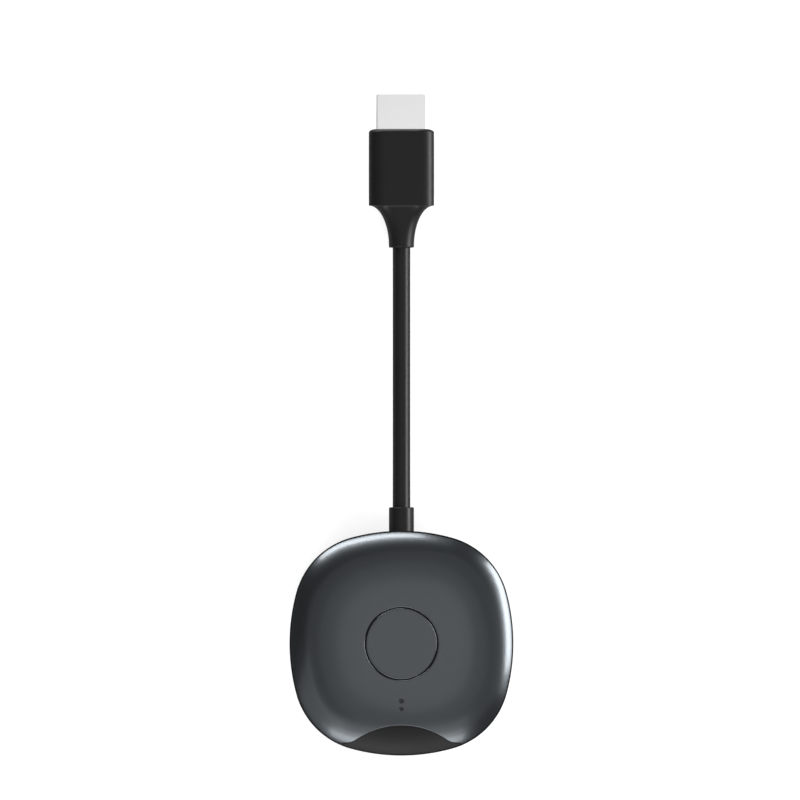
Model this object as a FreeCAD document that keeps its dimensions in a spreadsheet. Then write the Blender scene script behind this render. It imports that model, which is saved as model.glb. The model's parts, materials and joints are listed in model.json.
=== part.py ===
import FreeCAD, Part
import math
import os
import re
import Sketcher

# Wireless display adapter: a pillow-shaped receiver with a round button and a short
# cable to its video plug. Millimetres. The origin is the middle of the receiver's foot,
# +Z is up out of the button, +Y points along the cable to the plug.

SIZES = [
    # Receiver outline
    ("puck_width", 62.2),
    ("puck_length", 62.4),
    ("puck_height", 12.6),
    ("side_arc", 54.1),
    ("end_arc", 52.7),
    ("corner_arc", 21.6),
    ("parting_height", 8.0),
    ("flat_width", 22.4),
    ("foot_stand", 0.5),
    # Lower tray
    ("tray_wall", 2.1),
    ("tray_floor", 1.4),
    ("tray_edge_radius", 3.0),
    ("lip_share", 0.08),
    ("lip_step", 0.8),
    ("boss_share", 0.595),
    ("boss_end_setback", 12.636),
    ("boss_radius", 2.6),
    ("board_stud_width", 3.6),
    ("board_rest_width", 3.0),
    ("boss_split_height", 5.0),
    ("saddle_width", 10.0),
    # Top cover
    ("rim_lip", 0.3),
    ("cover_skirt", 0.65),
    ("cover_top", 1.3),
    # Dark crescent over the power port
    ("crest_reach", 22.8),
    ("crest_radius", 21.8),
    ("flare_radius", 5.0),
    ("crescent_depth", 5.0),
    ("crescent_tip", 0.8),
    ("crescent_drop", 0.45),
    ("crescent_gap", 0.1),
    ("crescent_wall", 1.6),
    # Button
    ("button_width", 19.6),
    ("button_gap", 0.4),
    ("button_thickness", 1.2),
    ("button_travel", 0.3),
    ("skirt_outer", 19.2),
    ("skirt_inner", 16.8),
    ("flange_width", 22.4),
    ("flange_thickness", 1.1),
    ("button_post_width", 4.0),
    # Guide ring under the button
    ("guide_inner", 19.8),
    ("guide_wall", 1.0),
    ("guide_floor", 0.8),
    ("guide_side_gap", 0.25),
    ("travel_spare", 0.2),
    ("guide_pin_circle", 28.0),
    ("guide_pin_width", 1.6),
    ("stake_head_width", 2.56),
    ("stake_head_height", 0.5),
    ("guide_ear_width", 4.0),
    # Tact switch
    ("switch_width", 6.2),
    ("switch_body_height", 3.4),
    ("switch_plate_width", 6.0),
    ("switch_plate_thickness", 0.2),
    ("switch_total_height", 5.0),
    ("switch_well_width", 4.4),
    ("switch_well_depth", 2.2),
    ("stem_width", 3.4),
    ("stem_flange_width", 4.0),
    ("stem_flange_thickness", 1.0),
    ("dome_width", 3.9),
    ("dome_skin", 0.12),
    # Indicator lights
    ("light_reach", 17.0),
    ("light_pitch", 2.2),
    ("light_large_width", 1.3),
    ("light_small_width", 1.1),
    ("light_column_width", 1.5),
    ("light_bar_width", 4.4),
    ("light_bar_length", 5.6),
    ("light_bar_thickness", 1.0),
    ("light_bar_gap", 0.35),
    ("lamp_length", 1.6),
    ("lamp_width", 0.8),
    ("lamp_height", 0.7),
    ("lamp_gap", 0.2),
    # Main board
    ("board_thickness", 1.0),
    ("board_clearance", 0.5),
    ("boss_clearance", 0.3),
    ("board_notch_width", 15.4),
    ("board_screw_share", 0.788),
    ("board_screw_bite", 0.9),
    ("rest_spread", 24.0),
    ("rest_share", 0.753),
    # Power port
    ("port_height", 5.2),
    ("port_width", 8.94),
    ("port_thickness", 3.26),
    ("port_metal", 0.3),
    ("port_length", 7.35),
    ("port_recess", 0.5),
    ("port_gap", 0.13),
    ("port_axis_over_board", 1.63),
    ("tongue_width", 6.69),
    ("tongue_thickness", 0.7),
    ("tongue_length", 4.45),
    ("port_back", 2.0),
    ("port_contact_pitch", 0.5),
    ("port_contact_width", 0.25),
    ("port_contact_thickness", 0.06),
    ("port_contact_setback", 0.6),
    # Parts on the board
    ("chip_thickness", 1.2),
    ("processor_width", 14.0),
    ("processor_share", 0.217),
    ("processor_ahead", 1.0),
    ("pad_thickness", 0.5),
    ("sink_width", 16.0),
    ("sink_length", 20.0),
    ("sink_base", 1.2),
    ("sink_clearance", 0.23),
    ("fin_thickness", 0.9),
    ("radio_width", 12.2),
    ("radio_length", 12.9),
    ("radio_share", 0.217),
    ("radio_board", 0.8),
    ("radio_cover_height", 1.6),
    ("radio_cover_wall", 0.2),
    ("radio_cover_inset", 0.4),
    ("radio_chip_width", 6.1),
    ("radio_chip_thickness", 0.9),
    ("part_gap", 0.6),
    ("memory_width", 8.0),
    ("memory_length", 10.0),
    ("memory_share", 0.169),
    ("flash_width", 5.2),
    ("flash_length", 4.0),
    ("flash_thickness", 1.5),
    ("flash_setback", 6.15),
    ("crystal_width", 3.2),
    ("crystal_length", 2.5),
    ("crystal_thickness", 0.8),
    ("regulator_width", 3.0),
    ("regulator_thickness", 0.9),
    ("regulator_share", 0.1206),
    ("regulator_setback", 9.65),
    ("coil_width", 4.0),
    ("coil_height", 2.0),
    ("capacitor_length", 1.6),
    ("capacitor_width", 0.8),
    ("capacitor_pitch", 2.4),
    ("bulk_width", 3.5),
    ("bulk_length", 2.8),
    ("bulk_height", 1.9),
    ("bulk_share", 0.1206),
    # Antennas
    ("antenna_length", 20.0),
    ("antenna_height", 3.6),
    ("antenna_thickness", 0.25),
    ("antenna_lift", 0.6),
    ("lead_width", 0.8),
    ("lead_plug_width", 2.0),
    ("lead_plug_height", 1.2),
    ("lead_plug_pitch", 7.0),
    ("lead_plug_setback", 2.55),
    ("lead_setback", 1.5),
    # Screws
    ("case_screw_width", 2.0),
    ("case_head_width", 3.8),
    ("case_head_height", 1.2),
    ("case_screw_length", 7.0),
    ("small_screw_width", 1.6),
    ("small_head_width", 3.0),
    ("small_head_height", 1.0),
    # Foot and label
    ("foot_inset", 4.6),
    ("foot_band", 6.4),
    ("foot_seat", 0.4),
    ("label_width", 24.0),
    ("label_length", 20.0),
    ("label_thickness", 0.12),
    # Cable
    ("cable_height", 4.5),
    ("cable_width", 4.9),
    ("cord_length", 72.25),
    ("collar_width", 6.95),
    ("collar_length", 6.55),
    ("collar_neck_width", 5.7),
    ("collar_flange_width", 9.0),
    ("collar_flange_thickness", 1.4),
    ("cable_tail", 6.6),
    ("clamp_width", 14.6),
    ("clamp_length", 3.4),
    ("clamp_height", 2.7),
    ("clamp_setback", 1.0),
    ("clamp_rise", 0.4),
    ("clamp_screw_spread", 11.2),
    ("clamp_post_width", 3.4),
    ("clamp_screw_bite", 2.5),
    ("wire_width", 0.66),
    ("wire_pitch", 1.25),
    ("bundle_pitch", 0.4),
    ("bundle_rise", 0.45),
    ("wire_straight", 0.5),
    ("wire_fan_length", 5.0),
    ("wire_landing", 1.4),
    # Plug body
    ("neck_width", 7.0),
    ("neck_length", 0.4),
    ("shoulder_length", 11.3),
    ("plug_width", 18.16),
    ("plug_thickness", 9.0),
    ("plug_body_length", 21.2),
    ("plug_edge_radius", 3.0),
    ("plug_front_radius", 0.5),
    # Metal shell of the plug
    ("metal_width", 13.9),
    ("metal_height", 4.45),
    ("metal_bevel", 1.35),
    ("metal_edge_radius", 0.5),
    ("metal_wall", 0.35),
    ("metal_reach", 9.7),
    ("metal_root", 6.5),
    # Inside the plug
    ("can_wall", 0.3),
    ("can_edge_radius", 0.4),
    ("can_length", 19.6),
    ("can_front_gap", 1.0),
    ("can_door_width", 4.0),
    ("core_recess", 0.4),
    ("slot_width", 11.9),
    ("slot_height", 1.9),
    ("slot_depth", 7.6),
    ("contact_pitch", 1.0),
    ("contact_width", 0.4),
    ("contact_thickness", 0.15),
    ("contact_tail", 1.5),
    ("contact_setback", 0.7),
    ("contact_landing", 1.0),
    ("ferrule_wall", 0.25),
    ("ferrule_length", 3.0),
    ("mould_length", 3.6),
    ("mould_edge_radius", 0.3),
    # Clearances
    ("slip_fit", 0.05),
    ("screw_fit", 0.03),
    ("loose_fit", 0.1),
    ("contact_fit", 0.02),
]

doc = FreeCAD.newDocument("display_adapter")
sheet = doc.addObject("Spreadsheet::Sheet", "Sizes")
for row, (alias, value) in enumerate(SIZES, start=1):
    sheet.set(f"A{row}", alias)
    sheet.set(f"B{row}", str(value))
    sheet.setAlias(f"B{row}", alias)
doc.recompute()
ALIASES = {alias for alias, value in SIZES}


# Expressions: words that name a size are looked up in the sheet
def cells(text):
    def look_up(word):
        return f"Sizes.{word.group()}" if word.group() in ALIASES else word.group()
    return re.sub(r"[a-z_]+", look_up, str(text))


def number(text):
    found = sheet.evalExpression(cells(text))
    return float(getattr(found, "Value", found))


def bind(item, field, text):
    item.setExpression(field, cells(text))


def move(item, x="0", y="0", z="0"):
    for axis, text in zip("xyz", (x, y, z)):
        bind(item, f"Placement.Base.{axis}", text)


# Derived places that several pieces share
BOARD_TOP = "(port_height - port_axis_over_board)"
BOARD_BOTTOM = f"({BOARD_TOP} - board_thickness)"
FLOOR_TOP = "(foot_stand + tray_floor)"
COVER_UNDER = "(puck_height - cover_top)"
SWITCH_TOP = f"({BOARD_TOP} + switch_total_height)"
FLANGE_TOP = f"({COVER_UNDER} - 2 * slip_fit)"
FLANGE_BOTTOM = f"({FLANGE_TOP} - flange_thickness)"
GUIDE_BOTTOM = f"({FLANGE_BOTTOM} - button_travel - travel_spare - guide_floor)"
DOME_HEIGHT = "(2 * button_travel)"
CASE_SEAT = "(foot_stand + foot_seat + loose_fit + case_head_height)"
CASE_SCREW_TIP = f"({CASE_SEAT} + case_screw_length)"
LIP_OUTSIDE = "(rim_lip + cover_skirt + lip_step)"
LIP_TOP = "(parting_height + lip_share * (puck_height - parting_height))"
BOARD_SCREW_TIP = f"({BOARD_BOTTOM} - board_screw_bite)"
WALL_INSIDE = "(puck_length / 2 - tray_wall)"
COLLAR_END = "(puck_length / 2 + collar_length)"
NECK_END = f"({COLLAR_END} + cord_length)"
SHOULDER = f"({NECK_END} + neck_length)"
BODY_START = f"({SHOULDER} + shoulder_length)"
BODY_END = f"({BODY_START} + plug_body_length)"
METAL_TIP = f"({BODY_END} + metal_reach)"
METAL_ROOT = f"({BODY_END} - metal_root)"
CAN_FRONT = f"({BODY_END} - can_front_gap)"
CAN_BACK = f"({CAN_FRONT} - can_length)"
CABLE_START = f"({WALL_INSIDE} - cable_tail)"
CORE_BACK = f"({METAL_ROOT} + can_wall)"
CORE_FRONT = f"({METAL_TIP} - core_recess)"
CLAMP_BACK = f"({CABLE_START} + clamp_setback)"
WIRES_END = f"({CABLE_START} - wire_fan_length - wire_landing)"
LEADS_Y = f"({WIRES_END} - lead_setback)"
PROCESSOR_X = "(-processor_share * puck_width)"
RADIO_X = "(radio_share * puck_width)"
RADIO_Y = f"({LEADS_Y} - lead_plug_setback - radio_length / 2)"
RADIO_BACK = f"({RADIO_Y} - radio_length / 2)"
CLAMP_MIDDLE = f"({CLAMP_BACK} + clamp_length / 2)"
CLAMP_SEAT = "(cable_height + clamp_rise)"
CLAMP_SCREW_TIP = f"({CLAMP_SEAT} - clamp_screw_bite)"

# How far a cutting tool, or a part of a fused piece, runs past the face that it meets
PAST = 1
ABOVE = f"(puck_height + {PAST})"
# A fully rounded section keeps this much of its straight sides
STRAIGHT_LEFT = 0.02

ROD_TURN = FreeCAD.Rotation(FreeCAD.Vector(1, 0, 0), -90)
pieces = {}


def keep(label, item):
    item.Label = label
    pieces[label] = item
    return item


# Plain solids
def block(name, width, length, height, x="0", y="0", z="0"):
    item = doc.addObject("Part::Box", name)
    bind(item, "Length", width)
    bind(item, "Width", length)
    bind(item, "Height", height)
    move(item, f"({x}) - ({width}) / 2", f"({y}) - ({length}) / 2", z)
    return item


def disc(name, diameter, bottom, top, x="0", y="0"):
    item = doc.addObject("Part::Cylinder", name)
    bind(item, "Radius", f"({diameter}) / 2")
    bind(item, "Height", f"({top}) - ({bottom})")
    move(item, x, y, bottom)
    return item


def rod(name, diameter, start, end, x="0", z="cable_height"):
    item = doc.addObject("Part::Cylinder", name)
    item.Placement = FreeCAD.Placement(FreeCAD.Vector(), ROD_TURN)
    bind(item, "Radius", f"({diameter}) / 2")
    bind(item, "Height", f"({end}) - ({start})")
    move(item, x, start, z)
    return item


def fuse(name, *items):
    item = doc.addObject("Part::MultiFuse", name)
    item.Shapes = list(items)
    return item


def cut(name, base, *tools):
    tool = tools[0] if len(tools) == 1 else fuse(f"{name}_tools", *tools)
    item = doc.addObject("Part::Cut", name)
    item.Base = base
    item.Tool = tool
    return item


def common(name, *items):
    item = doc.addObject("Part::MultiCommon", name)
    item.Shapes = list(items)
    return item


def group(name, items):
    item = doc.addObject("Part::Compound", name)
    item.Links = items
    return item


# Sketches and the bodies made from them
def new_body(name):
    return doc.addObject("PartDesign::Body", name)


def new_sketch(body, name, role="XY_Plane", up="0", across="0"):
    plane = next(item for item in body.Origin.OriginFeatures if item.Role == role)
    sketch = body.newObject("Sketcher::SketchObject", name)
    sketch.AttachmentSupport = [(plane, "")]
    sketch.MapMode = "FlatFace"
    bind(sketch, "AttachmentOffset.Base.y", across)
    bind(sketch, "AttachmentOffset.Base.z", up)
    return sketch


def fix(sketch, text, *constraint):
    index = sketch.addConstraint(Sketcher.Constraint(*constraint, number(text)))
    bind(sketch, f"Constraints[{index}]", text)


def arc(centre, radius, start, end):
    circle = Part.Circle(FreeCAD.Vector(*centre, 0), FreeCAD.Vector(0, 0, 1), radius)
    return Part.ArcOfCircle(circle, start, end)


def join_round(sketch, count):
    for index in range(count):
        following = (index + 1) % count
        sketch.addConstraint(Sketcher.Constraint("Tangent", index, 2, following, 1))


# The receiver's outline: two long arcs, two end arcs and four corner arcs, all tangent.
# The inset moves it in all round and the share draws it smaller about its middle.
def outline(sketch, inset="0", share=1.0):
    half_x = f"{share} * (puck_width / 2 - ({inset}))"
    half_y = f"{share} * (puck_length / 2 - ({inset}))"
    side = f"{share} * (side_arc - ({inset}))"
    end = f"{share} * (end_arc - ({inset}))"
    corner = f"{share} * (corner_arc - ({inset}))"
    side_radius, end_radius, corner_radius = number(side), number(end), number(corner)
    side_x = number(half_x) - side_radius
    end_y = number(half_y) - end_radius
    side_reach = side_radius - corner_radius
    end_reach = end_radius - corner_radius
    span = math.hypot(side_x, end_y)
    along = (side_reach ** 2 - end_reach ** 2 + span ** 2) / (2 * span)
    aside = math.sqrt(side_reach ** 2 - along ** 2)
    corner_x = side_x + (along * -side_x + aside * -end_y) / span
    corner_y = (along * end_y + aside * -side_x) / span
    low = math.atan2(corner_y, corner_x - side_x)
    high = math.atan2(corner_y - end_y, corner_x)
    half = math.pi
    sketch.addGeometry([
        arc((side_x, 0), side_radius, -low, low),
        arc((corner_x, corner_y), corner_radius, low, high),
        arc((0, end_y), end_radius, high, half - high),
        arc((-corner_x, corner_y), corner_radius, half - high, half - low),
        arc((-side_x, 0), side_radius, half - low, half + low),
        arc((-corner_x, -corner_y), corner_radius, half + low, half + high),
        arc((0, -end_y), end_radius, half + high, 2 * half - high),
        arc((corner_x, -corner_y), corner_radius, 2 * half - high, 2 * half - low),
    ])
    join_round(sketch, 8)
    for index in (0, 4):
        sketch.addConstraint(Sketcher.Constraint("PointOnObject", index, 3, -1))
        fix(sketch, side, "Radius", index)
    for index in (2, 6):
        sketch.addConstraint(Sketcher.Constraint("PointOnObject", index, 3, -2))
        fix(sketch, end, "Radius", index)
    for index in (1, 3, 5, 7):
        fix(sketch, corner, "Radius", index)
    fix(sketch, f"{side} - {half_x}", "DistanceX", 0, 3, -1, 1)
    fix(sketch, f"{side} - {half_x}", "DistanceX", -1, 1, 4, 3)
    fix(sketch, f"{end} - {half_y}", "DistanceY", 2, 3, -1, 1)
    fix(sketch, f"{end} - {half_y}", "DistanceY", -1, 1, 6, 3)


def rounded(sketch, width, height, radius):
    reach_x = f"(({width}) / 2 - ({radius}))"
    reach_y = f"(({height}) / 2 - ({radius}))"
    centre_x, centre_y, turn = number(reach_x), number(reach_y), number(radius)
    places = [(1, 1), (-1, 1), (-1, -1), (1, -1)]
    shapes = []
    for index, (sign_x, sign_y) in enumerate(places):
        start = index * math.pi / 2
        shapes.append(arc((sign_x * centre_x, sign_y * centre_y), turn, start, start + math.pi / 2))
        next_x, next_y = places[(index + 1) % 4]
        turned = start + math.pi / 2
        offset = FreeCAD.Vector(turn * math.cos(turned), turn * math.sin(turned), 0)
        first = FreeCAD.Vector(sign_x * centre_x, sign_y * centre_y, 0) + offset
        last = FreeCAD.Vector(next_x * centre_x, next_y * centre_y, 0) + offset
        shapes.append(Part.LineSegment(first, last))
    sketch.addGeometry(shapes)
    join_round(sketch, 8)
    for index, (sign_x, sign_y) in enumerate(places):
        corner = (2 * index, 3)
        fix(sketch, radius, "Radius", 2 * index)
        ends_x = ((-1, 1) + corner) if sign_x > 0 else (corner + (-1, 1))
        ends_y = ((-1, 1) + corner) if sign_y > 0 else (corner + (-1, 1))
        fix(sketch, reach_x, "DistanceX", *ends_x)
        fix(sketch, reach_y, "DistanceY", *ends_y)


def pad(body, sketch, length, back=False):
    feature = body.newObject("PartDesign::Pad", f"{sketch.Name}_pad")
    feature.Profile = sketch
    feature.Reversed = back
    bind(feature, "Length", length)
    doc.recompute()
    return feature


def loft(body, sketches):
    feature = body.newObject("PartDesign::AdditiveLoft", f"{body.Name}_loft")
    feature.Profile = sketches[0]
    feature.Sections = sketches[1:]
    doc.recompute()
    return feature


def dress(body, kind, field, size, chosen):
    base = body.Tip
    names = [f"Edge{index}" for index, edge in enumerate(base.Shape.Edges, start=1) if chosen(edge)]
    feature = body.newObject(f"PartDesign::{kind}", f"{body.Name}_{kind.lower()}")
    feature.Base = (base, names)
    bind(feature, field, size)
    doc.recompute()
    return feature


def puck_slab(name, inset, bottom, top):
    body = new_body(name)
    sketch = new_sketch(body, f"{name}_outline", up=bottom)
    outline(sketch, inset)
    pad(body, sketch, f"({top}) - ({bottom})")
    return body


# A bar along Y with a rounded rectangular section
def bar(name, width, height, radius, start, end, z="cable_height"):
    body = new_body(name)
    sketch = new_sketch(body, f"{name}_section", "XZ_Plane", f"-({start})", z)
    rounded(sketch, width, height, radius)
    pad(body, sketch, f"({end}) - ({start})", back=True)
    return body


# The pillow form: outline shares that shrink as the height grows. The drop below the top
# is the sixth power of the share, so the middle is level and the rim slopes most.
PILLOW_STEPS = 9
PILLOW_POWER = 6
PILLOW_CROWDING = 1.3


def pillow(name, inset, top):
    body = new_body(name)
    flat_share = number("flat_width / puck_width")
    flat_drop = flat_share ** PILLOW_POWER
    sections = []
    for step in range(PILLOW_STEPS + 1):
        share = 1 - (1 - flat_share) * (step / PILLOW_STEPS) ** PILLOW_CROWDING
        rise = (1 - share ** PILLOW_POWER) / (1 - flat_drop)
        up = f"parting_height + {rise} * (({top}) - parting_height)"
        sketch = new_sketch(body, f"{name}_section", up=up)
        outline(sketch, inset, share)
        sections.append(sketch)
    loft(body, sections)
    return body


# The crescent's plan: a crest arc between two flares that end level, then the space
# outside the rim. The gap moves the whole edge out.
def crescent_plan(name, gap, bottom, top):
    body = new_body(name)
    sketch = new_sketch(body, f"{name}_plan", up=bottom)
    crest = f"(crest_radius + ({gap}))"
    flare = f"(flare_radius - ({gap}))"
    crest_radius, flare_radius = number(crest), number(flare)
    crest_y = -number("crest_reach + crest_radius")
    flare_y = -number("crest_reach + crescent_depth - flare_radius")
    turn = math.acos((flare_y - crest_y) / (crest_radius + flare_radius))
    flare_x = (crest_radius + flare_radius) * math.sin(turn)
    tip_x = flare_x + number(f"crescent_tip + {gap}")
    edge_y = flare_y - flare_radius
    far_y = -number("puck_length")
    right_side = [(flare_x, edge_y), (tip_x, edge_y), (tip_x, far_y)]
    left_side = [(-x, y) for x, y in reversed(right_side)]
    points = [FreeCAD.Vector(x, y, 0) for x, y in right_side + left_side]
    quarter = math.pi / 2
    sketch.addGeometry([
        arc((0, crest_y), crest_radius, quarter - turn, quarter + turn),
        arc((-flare_x, flare_y), flare_radius, 3 * quarter, 3 * quarter + turn),
        arc((flare_x, flare_y), flare_radius, 3 * quarter - turn, 3 * quarter),
    ] + [Part.LineSegment(first, last) for first, last in zip(points, points[1:])])
    chain = [(0, 2, 1, 2), (1, 1, 7, 2), (2, 2, 3, 1), (0, 1, 2, 1)]
    for first, first_end, second, second_end in chain:
        sketch.addConstraint(Sketcher.Constraint("Tangent", first, first_end, second, second_end))
    for index in range(3, 7):
        sketch.addConstraint(Sketcher.Constraint("Coincident", index, 2, index + 1, 1))
    for index in (4, 6):
        sketch.addConstraint(Sketcher.Constraint("Vertical", index))
    for index in (3, 5, 7):
        sketch.addConstraint(Sketcher.Constraint("Horizontal", index))
    sketch.addConstraint(Sketcher.Constraint("PointOnObject", 0, 3, -2))
    sketch.addConstraint(Sketcher.Constraint("Equal", 1, 2))
    sketch.addConstraint(Sketcher.Constraint("Equal", 3, 7))
    fix(sketch, crest, "Radius", 0)
    fix(sketch, flare, "Radius", 1)
    fix(sketch, "crest_reach + crest_radius", "DistanceY", 0, 3, -1, 1)
    fix(sketch, f"crest_reach + crescent_depth - ({gap})", "DistanceY", 3, 1, -1, 1)
    fix(sketch, f"crescent_tip + ({gap})", "DistanceX", 3, 1, 3, 2)
    fix(sketch, "puck_length", "DistanceY", 4, 2, -1, 1)
    pad(body, sketch, f"({top}) - ({bottom})")
    return body


# Places that several pieces share
def both_sides(spread):
    return [f"{side} * ({spread}) / 2" for side in (-1, 1)]


def four_corners(spread):
    return [(x, y) for x in both_sides(spread) for y in both_sides(spread)]


def boss_places():
    rows = both_sides("puck_length - 2 * boss_end_setback")
    return [(x, y) for x in both_sides("boss_share * puck_width") for y in rows]


def guide_pins():
    share = math.sqrt(0.5)
    return four_corners(f"{share} * guide_pin_circle")


def light_places():
    places = []
    for width, y in zip(("light_small_width", "light_large_width"), both_sides("light_pitch")):
        places.append((width, f"-light_reach + {y}"))
    return places


def screw(name, head_width, head_end, seat, shank_width, tip, x, y="0"):
    low_head, high_head = sorted((head_end, seat), key=number)
    low_shank, high_shank = sorted((tip, seat), key=number)
    head = disc(f"{name}_head", head_width, low_head, high_head, x, y)
    shank = disc(f"{name}_shank", shank_width, low_shank, high_shank, x, y)
    return fuse(name, head, shank)


# Casing
def make_top_cover(dome, gap_plan):
    inside = pillow("cover_inside", "rim_lip + cover_skirt", COVER_UNDER)
    room = fuse("cover_reach", inside, puck_slab("lower_room", "tray_wall", "foot_stand", "parting_height"))
    bosses = [disc("cover_boss", "2 * boss_radius", "boss_split_height", COVER_UNDER, x, y)
              for x, y in boss_places()]
    posts = common("cover_posts", fuse("cover_bosses", *bosses), room)
    pins = []
    for x, y in guide_pins():
        pins.append(disc("guide_pin", "guide_pin_width", GUIDE_BOTTOM, f"{COVER_UNDER} + cover_top / 2",
                         x, y))
        pins.append(disc("stake_head", "stake_head_width", f"{GUIDE_BOTTOM} - stake_head_height",
                         GUIDE_BOTTOM, x, y))
    solid = fuse("cover_solid", cut("cover_hollow", dome, inside), posts, *pins)
    tools = [disc("case_pilot", "case_screw_width + 2 * screw_fit", "boss_split_height",
                  f"{CASE_SCREW_TIP} + loose_fit", x, y) for x, y in boss_places()]
    tools.append(disc("button_hole", "button_width + 2 * button_gap", f"{COVER_UNDER} - {PAST}", ABOVE))
    for width, y in light_places():
        tools.append(disc("light_hole", f"{width} + 2 * slip_fit", f"{COVER_UNDER} - {PAST}", ABOVE, y=y))
    keep("top_cover", cut("top_cover", solid, gap_plan, *tools))


def tray_outside(name, grow):
    body = new_body(name)
    bottom = f"foot_stand - ({grow})"
    sketch = new_sketch(body, f"{name}_outline", up=bottom)
    outline(sketch, f"-({grow})")
    pad(body, sketch, f"parting_height - foot_stand + 2 * ({grow})")
    level = number(f"{bottom} + slip_fit")
    dress(body, "Fillet", "Radius", f"tray_edge_radius + ({grow})", lambda edge: edge.BoundBox.ZMax < level)
    return body


def crescent_lip(plan):
    top = "puck_height - crescent_drop"
    skin = cut("crescent_skin",
               pillow("crescent_outside", "0", top),
               pillow("crescent_inside", "crescent_wall", f"{top} - crescent_wall"))
    return common("crescent_lip", skin, plan)


# A low upstand on the wall's inner edge locates the cover
def tray_lip():
    return cut("tray_lip",
               puck_slab("lip_outside", LIP_OUTSIDE, f"parting_height - {PAST}", LIP_TOP),
               puck_slab("lip_inside", "tray_wall", f"parting_height - 2 * {PAST}", ABOVE))


def tray_posts():
    foot = f"foot_stand + {PAST}"
    posts = [disc("tray_boss", "2 * boss_radius", "foot_stand + foot_seat", "boss_split_height", x, y)
             for x, y in boss_places()]
    for x in both_sides("rest_spread"):
        for y in both_sides("rest_share * puck_length"):
            posts.append(disc("board_rest", "board_rest_width", foot, BOARD_BOTTOM, x, y))
    for x in both_sides("board_screw_share * puck_width"):
        posts.append(disc("board_stud", "board_stud_width", foot, BOARD_BOTTOM, x))
    for x in both_sides("clamp_screw_spread"):
        posts.append(disc("clamp_post", "clamp_post_width", foot, CLAMP_SEAT, x, CLAMP_MIDDLE))
    posts.append(block("cable_saddle", "saddle_width", "clamp_length", f"cable_height - ({foot})",
                       y=CLAMP_MIDDLE, z=foot))
    return posts


def foot_ring(name, grow, bottom, top):
    return cut(name,
               puck_slab(f"{name}_outer", f"foot_inset - ({grow})", bottom, top),
               puck_slab(f"{name}_inner", f"foot_inset + foot_band + ({grow})", f"{bottom} - {PAST}", ABOVE))


def tray_holes():
    slot = "collar_neck_width + 2 * slip_fit"
    saddle_end = f"{WALL_INSIDE} - collar_flange_thickness"
    tools = [
        rod("saddle_groove", "cable_width + 2 * slip_fit", CABLE_START, saddle_end),
        rod("collar_slot_low", slot, f"{WALL_INSIDE} - {PAST}", f"puck_length / 2 + {PAST}"),
        block("collar_slot_high", slot, f"tray_wall + 2 * {PAST}", "puck_height",
              y="puck_length / 2 - tray_wall / 2", z="cable_height"),
        bar("port_hole", "port_width + 2 * port_gap", "port_thickness + 2 * port_gap",
            f"port_thickness / 2 + port_gap - {STRAIGHT_LEFT}", f"-puck_length / 2 - {PAST}",
            f"-{WALL_INSIDE} + {PAST}", "port_height"),
        foot_ring("foot_seat_ring", "slip_fit", "0", "foot_stand + foot_seat"),
        block("label_seat", "label_width + 2 * loose_fit", "label_length + 2 * loose_fit",
              "foot_stand + label_thickness"),
    ]
    for x, y in boss_places():
        tools.append(disc("case_head_well", "case_head_width + 2 * loose_fit", "0", CASE_SEAT, x, y))
        tools.append(disc("case_screw_hole", "case_screw_width + 2 * loose_fit", "0", "puck_height", x, y))
    pilot = "small_screw_width + 2 * screw_fit"
    for x in both_sides("board_screw_share * puck_width"):
        tools.append(disc("stud_pilot", pilot, f"{BOARD_SCREW_TIP} - loose_fit", "puck_height", x))
    for x in both_sides("clamp_screw_spread"):
        tools.append(disc("post_pilot", pilot, f"{CLAMP_SCREW_TIP} - loose_fit", "puck_height",
                          x, CLAMP_MIDDLE))
    return tools


def make_lower_tray(plan):
    room = puck_slab("tray_room", "tray_wall", FLOOR_TOP, f"{LIP_TOP} + {PAST}")
    bowl = cut("tray_bowl", tray_outside("tray_blank", "0"), room)
    solid = fuse("tray_solid", bowl, tray_lip(), crescent_lip(plan), *tray_posts())
    keep("lower_tray", cut("lower_tray", solid, *tray_holes()))


def make_foot_and_label():
    keep("rubber_foot", foot_ring("rubber_foot", "0", "0", "foot_stand + foot_seat"))
    label = block("rating_label", "label_width", "label_length", "label_thickness", z="foot_stand")
    keep("rating_label", label)


def make_casing_screws():
    screws = [screw("case_screw", "case_head_width", f"{CASE_SEAT} - case_head_height", CASE_SEAT,
                    "case_screw_width", CASE_SCREW_TIP, x, y) for x, y in boss_places()]
    keep("casing_screws", group("casing_screws", screws))


# Button and its switch
def make_button():
    under_face = "(puck_height - button_thickness)"
    inside_face = "(puck_height - button_thickness / 2)"
    face = disc("button_face", "button_width", under_face, "puck_height")
    skirt = disc("button_skirt", "skirt_outer", FLANGE_BOTTOM, inside_face)
    flange = disc("button_flange", "flange_width", FLANGE_BOTTOM, FLANGE_TOP)
    hollow = disc("button_hollow", "skirt_inner", f"{FLANGE_BOTTOM} - {PAST}", under_face)
    post = disc("button_post", "button_post_width", SWITCH_TOP, inside_face)
    cup = cut("button_cup", fuse("button_solid", face, skirt, flange), hollow)
    keep("button_cap", fuse("button_cap", cup, post))


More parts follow.
